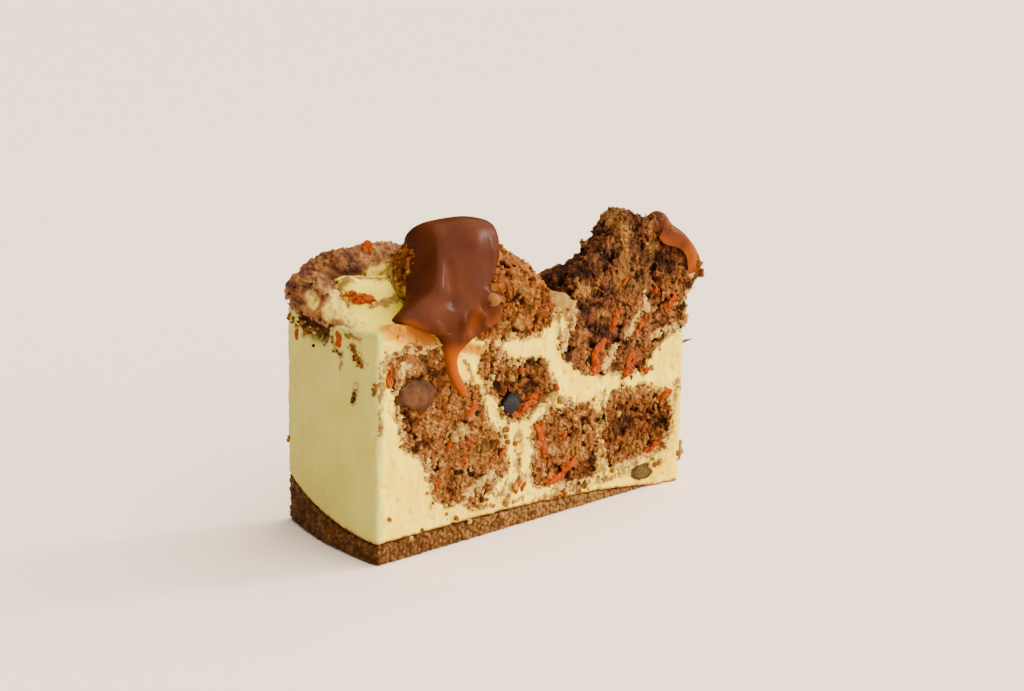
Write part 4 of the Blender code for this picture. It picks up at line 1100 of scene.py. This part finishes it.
def sliced_egg(sizes, seed):
    """An uneven egg shape in the near cut: its grid runs from pole to pole and round, and what
    stands past the cut is pressed almost flat."""
    along, height, long, tall, deep = (value * MM for value in sizes)
    unit = ball_grid(38, 72)
    flat = (unit * 4 * MM).reshape(-1, 3)
    swell = 1 + 0.24 * cloud(flat, 3.4 * MM, seed) + 0.18 * cloud(flat, 1.4 * MM, seed + 1)
    place = unit * swell.reshape(unit.shape[:2])[..., None] * np.array([long, deep, tall])
    s, z = along + place[..., 0], height + place[..., 2]
    v = (place[..., 1] - half_width(along)) / half_width(s)
    v = np.where(v < -1, -1 + NUT_SHARE * (v + 1), v)
    rind = smooth_step((np.hypot(place[..., 0] / long, place[..., 2] / tall) - 0.55) / 0.45)
    return *closed_roll(slice_points(s, v, z)), np.append(rind, [1, 1])


def nut_finish(name, roughness, skin, flesh):
    """A nut or fruit: mottled flesh with fine grain, darker towards its rind."""
    nut = Finish(name, roughness, 0.1, (2, 1, 0.5))
    mottle = nut.noise(2.6, 5, 0.7) + nut.read("rind") * -0.2
    return nut.made(mottle.ramp((0.25, *skin), (0.58, *flesh)), nut.noise(0.8, 4, 0.7), 0.5, 1.0)


NUTS = [("pecan_half", "pecan_piece", "nut", PECAN, 21, 0.5, (0.044, 0.015, 0.005),
         (0.118, 0.044, 0.015)),
        ("cut_raisin", "raisin", "dried_fruit", RAISIN, 27, 0.3, (0.003, 0.0025, 0.003),
         (0.022, 0.017, 0.020)),
        ("cut_walnut", "walnut_piece", "nut", WALNUT, 23, 0.6, (0.045, 0.026, 0.006),
         (0.12, 0.072, 0.018))]
for piece_name, node, slot, sizes, seed, *look in NUTS:
    points, faces, rind = sliced_egg(sizes, seed)
    nut = mesh_piece(piece_name, points, faces, nut_finish(piece_name, *look))
    add_values(nut, rind=rind)
    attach(nut, "root")
    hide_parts(node)

# ---- Grated carrot ---------------------------------------------------------------------------
# Shreds and chips of carrot that the knife laid bare, on the cut, the rim and the top: thin bowed
# straps with blunt ends, each sunk half into what it lies on.

CUT_SHREDS = [(55.8, 27.2, 59.8, 16.8, 0.95, 1.4), (60.5, 8.8, 73, 14.8, 0.85, -1),
    (79, 39.8, 82, 45.5, 0.9, 0.6), (93, 37.5, 96.5, 41, 0.8, 0.5), (86.5, 49, 89.5, 53, 0.8, 0.5),
    (32.4, 33.8, 33.8, 37.6, 0.8, 0.4), (50.5, 31.6, 56.8, 33.2, 0.8, 0.6),
    (24, 26.5, 25.4, 28, 0.7, 0.2), (49.5, 9, 51, 13, 0.9, 0.3), (51.5, 9.4, 53.6, 11.4, 0.7, 0.3),
    (104, 10.8, 107, 12.8, 0.9, 0.3), (108.2, 25.6, 111.6, 27.6, 0.9, 0.4), (78.2, 37, 82.6, 38, 1, 0.5),
    (91.5, 34.2, 96, 35.2, 1, 0.5), (100.4, 34, 102.6, 35, 0.7, 0.2), (103.4, 56.6, 105, 58, 0.7, 0.2),
    (109, 51.4, 112.4, 54.6, 1.1, 0.5), (97.4, 47, 99.6, 48.8, 0.8, 0.3),
    (3.6, 45.4, 4.6, 49.6, 0.7, 0.3), (67, 20, 69, 23, 0.5, 0.3), (20, 16, 21, 19, 0.5, 0.2),
    (43, 20, 45, 23, 0.5, 0.2), (90, 60, 92.5, 62, 0.6, 0.3)]
TOP_SHREDS = [(4.8, -0.06, 64.6, 7.4, -0.02, 65, 0.6), (6.5, -0.1, 63.6, 9.5, -0.02, 64.2, 0.6),
    (8, 0, 64.8, 10.6, 0.04, 65, 0.6), (10, -0.1, 63, 12.6, -0.06, 63.2, 0.5),
    (9.4, -0.04, 64, 11.6, 0.02, 64.2, 0.5), (11.4, 0, 64, 14, 0.03, 64, 0.55),
    (12.5, -0.08, 62.8, 15.5, -0.04, 62.9, 0.45), (7, -0.02, 64.6, 8.2, 0.06, 65.4, 0.5),
    (19.2, 0.56, 72.4, 19.8, 0.64, 76, 1.5), (11, 0.66, 72.2, 14.5, 0.72, 73.8, 0.8),
    (17, 0.6, 73.2, 22, 0.62, 73.6, 0.8), (-0.1, -0.3, 57.2, -0.1, -0.34, 53.4, 1.1),
    (-0.1, 0.64, 55, -0.1, 0.66, 50.5, 0.8), (112, -0.4, 38.2, 119.6, -0.4, 41.6, 0.35)]
SHRED_HALF = 0.5 * MM
TOP_BOW = 0.5 * MM
CUT_NORMAL = np.array([math.sin(HALF_ANGLE), -math.cos(HALF_ANGLE), 0.0])


def shred(start, end, half, bow, normal):
    """Rings of a strap from start to end: a flat ellipse that keeps its breadth until near either
    end, bowed to one side in the middle and made a little lumpy."""
    way = np.linspace(0, 1, 16)[:, None, None]
    angle = round_angles(12)[..., None]
    aside = np.cross(normal, end - start)
    aside = aside / np.linalg.norm(aside)
    middle = start + (end - start) * way + aside * bow * 4 * way * (1 - way)
    full = (1 - np.abs(2 * way - 1) ** 4 * 0.98) ** 0.5
    ring = middle + full * (aside * np.cos(angle) * half + normal * np.sin(angle) * SHRED_HALF)
    out, along = (cloud(ring.reshape(-1, 3), size, seed).reshape(ring.shape[:2])[..., None]
                  for size, seed in ((1.3 * MM, 71), (1.1 * MM, 72)))
    return ring + (0.45 * out - 0.15) * MM * normal + 0.4 * MM * along * aside


def joined(parts):
    """Several sets of points and faces as one."""
    shifts = np.cumsum([0] + [len(points) for points, _ in parts[:-1]])
    return (np.vstack([points for points, _ in parts]),
            np.vstack([faces + shift for (_, faces), shift in zip(parts, shifts)]))


def carrot_finish():
    """Baked carrot: clear orange, finely mottled, and khaki where it dried out."""
    carrot = Finish("carrot", 0.4, 0.1, (2, 0.6, 0.2), 0.03)
    streak = carrot.noise(1, 4, 0.6)
    colour = streak.ramp((0.3, 0.12, 0.014, 0.0005), (0.5, 0.25, 0.036, 0.0006),
                         (0.75, 0.38, 0.078, 0.001))
    colour = carrot.read("dry").mix(colour, (0.12, 0.065, 0.018))
    return carrot.made(colour, streak, 0.3, 0.7)


shreds = []
for *ends, half, bow in on_far_cut(on_near_cut(CUT_SHREDS)):
    outward = CUT_NORMAL * [1, -ends[1], 1]
    shreds.append(closed_roll(shred(*two_ends(ends), half * MM, bow * MM, outward)))
for *ends, half in TOP_SHREDS:
    outward = np.array([-1.0, 0.0, 0.0]) if ends[0] < 0 else np.array([-0.5, -0.6, 0.62])
    shreds.append(closed_roll(shred(*two_ends(ends), half * MM, TOP_BOW, outward)))
grated = mesh_piece("grated_carrot", *joined(shreds), carrot_finish())
add_values(grated, dry=np.repeat(np.arange(len(shreds)) == len(shreds) - 1, len(shreds[0][0])))
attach(grated, "root")

# ---- Nut bits and loose crumbs ---------------------------------------------------------------
# Chopped nuts and bits of peel that show in the cake, the nub of nut at the tip, and crumbs that
# the knife dragged over the cream or that broke off the crowns: uneven little balls, each a
# sphere's grid pushed in and out by noise.

NUT_BITS = [(66, -1, 32, 1.3, 0.3), (77, -1, 22, 1.2, 0.3), (88.4, -0.35, 77, 1.7, 0.4),
    (90, -0.5, 77, 1.3, 0.6), (38, -1.03, 63.2, 1.9, 0.85), (38.4, -1.06, 61.6, 1.5, 1),
    (115.4, -0.3, 8.2, 2.4, 0.6), (115.6, -0.2, 10.4, 1.8, 0.5), (28, -1, 30, 1.5, 0.1),
    (26, -1, 29, 1.2, 0.1), (83.2, 0.5, 71, 0.9, 0.9), (82.8, 0.5, 72, 0.6, 0.9), (72, -1, 26, 0.8, 0.3),
    (90, -1, 24, 0.8, 0.3), (47, -1, 41, 0.9, 0.4), (101, -0.8, 70, 1.2, 0.6), (93, -0.6, 74, 1.2, 0.6),
    (16.5, -1, 22.5, 1, 0.2)]
BALL_ROWS = 7
BALL_COLUMNS = 10
BALL_POINTS = BALL_ROWS * BALL_COLUMNS + 2
CRUMB_TRIES = 4600
CRUMBS_REACH = 0.8 * MM


def balls(centres, radii, seed, roughness):
    """Uneven balls of given radii round given centres, as one set of points and faces."""
    flat, faces = closed_roll(ball_grid(BALL_ROWS, BALL_COLUMNS)[..., [0, 2, 1]] * [1, -1, -1])
    middles, sizes = centres[:, None], radii[:, None, None]
    points = middles + flat * sizes
    spots = (points / sizes).reshape(-1, 3)
    swell = 1 + roughness * (cloud(spots, 0.9, seed) + 0.5 * cloud(spots, 0.45, seed + 1))
    points = middles + (points - middles) * swell.reshape(len(centres), -1, 1)
    shifts = np.arange(len(centres))[:, None, None] * len(flat)
    return points.reshape(-1, 3), (faces + shifts).reshape(-1, 3)


def bit_finish():
    """Chopped nut: straw and olive-brown, with fine grain."""
    bit = Finish("nut_bit", 0.5, 0.15, (2, 1, 0.4))
    grain = bit.noise(1.4, 4, 0.6)
    colour = grain.ramp((0.3, 0.16, 0.075, 0.014), (0.5, 0.36, 0.20, 0.040), (0.72, 0.58, 0.40, 0.12))
    colour = bit.read("toast").mix(colour, (0.16, 0.058, 0.014))
    return bit.made(colour, grain, 0.3, 0.8)


far_bits = [(s + 2, 1, *rest) for s, v, *rest in NUT_BITS if v == -1]
bits = np.array(NUT_BITS + far_bits)
centres = slice_points(bits[:, 0] * MM, bits[:, 1], bits[:, 2] * MM)
nut_bits = mesh_piece("nut_bits", *balls(centres, bits[:, 3] * MM, 81, 0.45), bit_finish())
add_values(nut_bits, toast=np.repeat(bits[:, 4], BALL_POINTS))
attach(nut_bits, "root")

random = np.random.default_rng(82)
along = random.uniform(0, 0.95 * SLICE_LENGTH, CRUMB_TRIES)
height = random.uniform(4 * MM, BLOCK_HEIGHT, CRUMB_TRIES)
across = np.where(random.random(CRUMB_TRIES) < 0.7, -1.0, 1.0)
points = slice_points(along, across, height)
edge = beds_depth(along, across, height) + wander(points)
wanted = 0.28 * np.exp(-np.abs(edge + OVERLAP) / CRUMBS_REACH) + 0.3 * streaked(points, CUT_CRUMBS) ** 2
wanted = wanted + 0.2 * np.exp(-np.abs(height - base_top(along, across)) / (1.2 * MM))
on_cut = points[random.random(CRUMB_TRIES) < wanted]
across = random.uniform(-1, 1, CRUMB_TRIES)
height = random.uniform(20 * MM, BLOCK_HEIGHT + MARGIN, CRUMB_TRIES)
points = slice_points(0, across, height)
on_rim = points[random.random(CRUMB_TRIES) < 0.3 * streaked(points, RIM_CRUMBS) ** 2]
along = random.uniform(MARGIN, 75 * MM, CRUMB_TRIES)
across = random.uniform(-1, 1, CRUMB_TRIES)
points = slice_points(along, across, filling_top(along, across))
edge = beds_depth(along, across, points[:, 2])
wanted = (edge < 0) * 0.16 * np.exp(np.minimum(edge, 0) / CRUMBS_REACH)
on_top = points[random.random(CRUMB_TRIES) < wanted]
centres = np.vstack([on_cut, on_rim, on_top])
radii = np.clip(random.lognormal(math.log(0.36 * MM), 0.4, len(centres)), 0.2 * MM, 0.85 * MM)
crumbs = mesh_piece("loose_crumbs", *balls(centres, radii, 83, 0.36), sponge_finish)
kind, tone = (np.repeat(random.random(len(centres)), BALL_POINTS) for _ in range(2))
# Crumbs on the rim are made darker: partly painted shade of the rim face and its cavity.
at_rim = np.abs(piece_points(crumbs)[:, 0] - base_low.x) < 1.5 * MM
add_values(crumbs, crest=0.75 * (0.65 + 0.6 * tone), smear=(kind > 0.8) * 0.9,
           orange=(kind < 0.03) * 0.9, ochre=(kind > 0.4) * (kind < 0.6) * 0.8,
           burnt=np.where(at_rim, 1.6, (kind < 0.15) * 0.5))
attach(crumbs, "root")

# ---- Floor, light and camera -----------------------------------------------------------------
# A plain pale floor in an even pale surround, one soft light from the right with a small one
# beside it, and the camera low in front of the rim's near corner.

FLOOR_SIZE = 16.0
WINDOW_POWER = 12.0
WINDOW_SOFTNESS = math.radians(130)
TO_WINDOW = (0.80, -0.58, 0.66)
LAMP_POWER = 2.4
LAMP_SOFTNESS = math.radians(11)
TO_LAMP = (0.95, -0.15, 0.55)
CAMERA_FROM_TIP = Vector((-351.86 * MM, -435.24 * MM, 163.36 * MM))
CAMERA_TURNS = [(-34.07246, "Z"), (77.412, "X"), (0.973, "Z")]
CAMERA_LENS = 70.31


def paper_finish():
    """A plain pale backdrop."""
    paper = Finish("paper", 0.8)
    paper.shader.inputs["Base Color"].default_value = (0.98, 0.81, 0.68, 1.0)
    return paper.material


half = FLOOR_SIZE / 2
corners = np.array([(-half, -half, 0), (half, -half, 0), (half, half, 0), (-half, half, 0)])
floor = mesh_piece("floor", corners, np.array([[0, 1, 2, 3]]), paper_finish())

world = bpy.data.worlds.new("surround")
bpy.context.scene.world = world
world.use_nodes = True
world.node_tree.nodes["Background"].inputs["Color"].default_value = (0.95, 1.0, 0.95, 1.0)
world.node_tree.nodes["Background"].inputs["Strength"].default_value = 0.3

for light_name, power, softness, towards in (("window", WINDOW_POWER, WINDOW_SOFTNESS, TO_WINDOW),
                                             ("lamp", LAMP_POWER, LAMP_SOFTNESS, TO_LAMP)):
    light = bpy.data.objects.new(light_name, bpy.data.lights.new(light_name, "SUN"))
    bpy.context.scene.collection.objects.link(light)
    light.data.energy = power
    light.data.angle = softness
    light.data.color = (1.0, 0.91, 0.79)
    light.rotation_euler = Vector(towards).to_track_quat("Z", "Y").to_euler()

camera = bpy.data.objects.new("camera", bpy.data.cameras.new("camera"))
bpy.context.scene.collection.objects.link(camera)
camera.data.lens = CAMERA_LENS
camera.matrix_world = Matrix.Translation(Vector((TIP_X, TIP_Y, 0)) + CAMERA_FROM_TIP)
for degrees, axis in CAMERA_TURNS:
    camera.matrix_world = camera.matrix_world @ Matrix.Rotation(math.radians(degrees), 4, axis)
bpy.context.scene.camera = camera
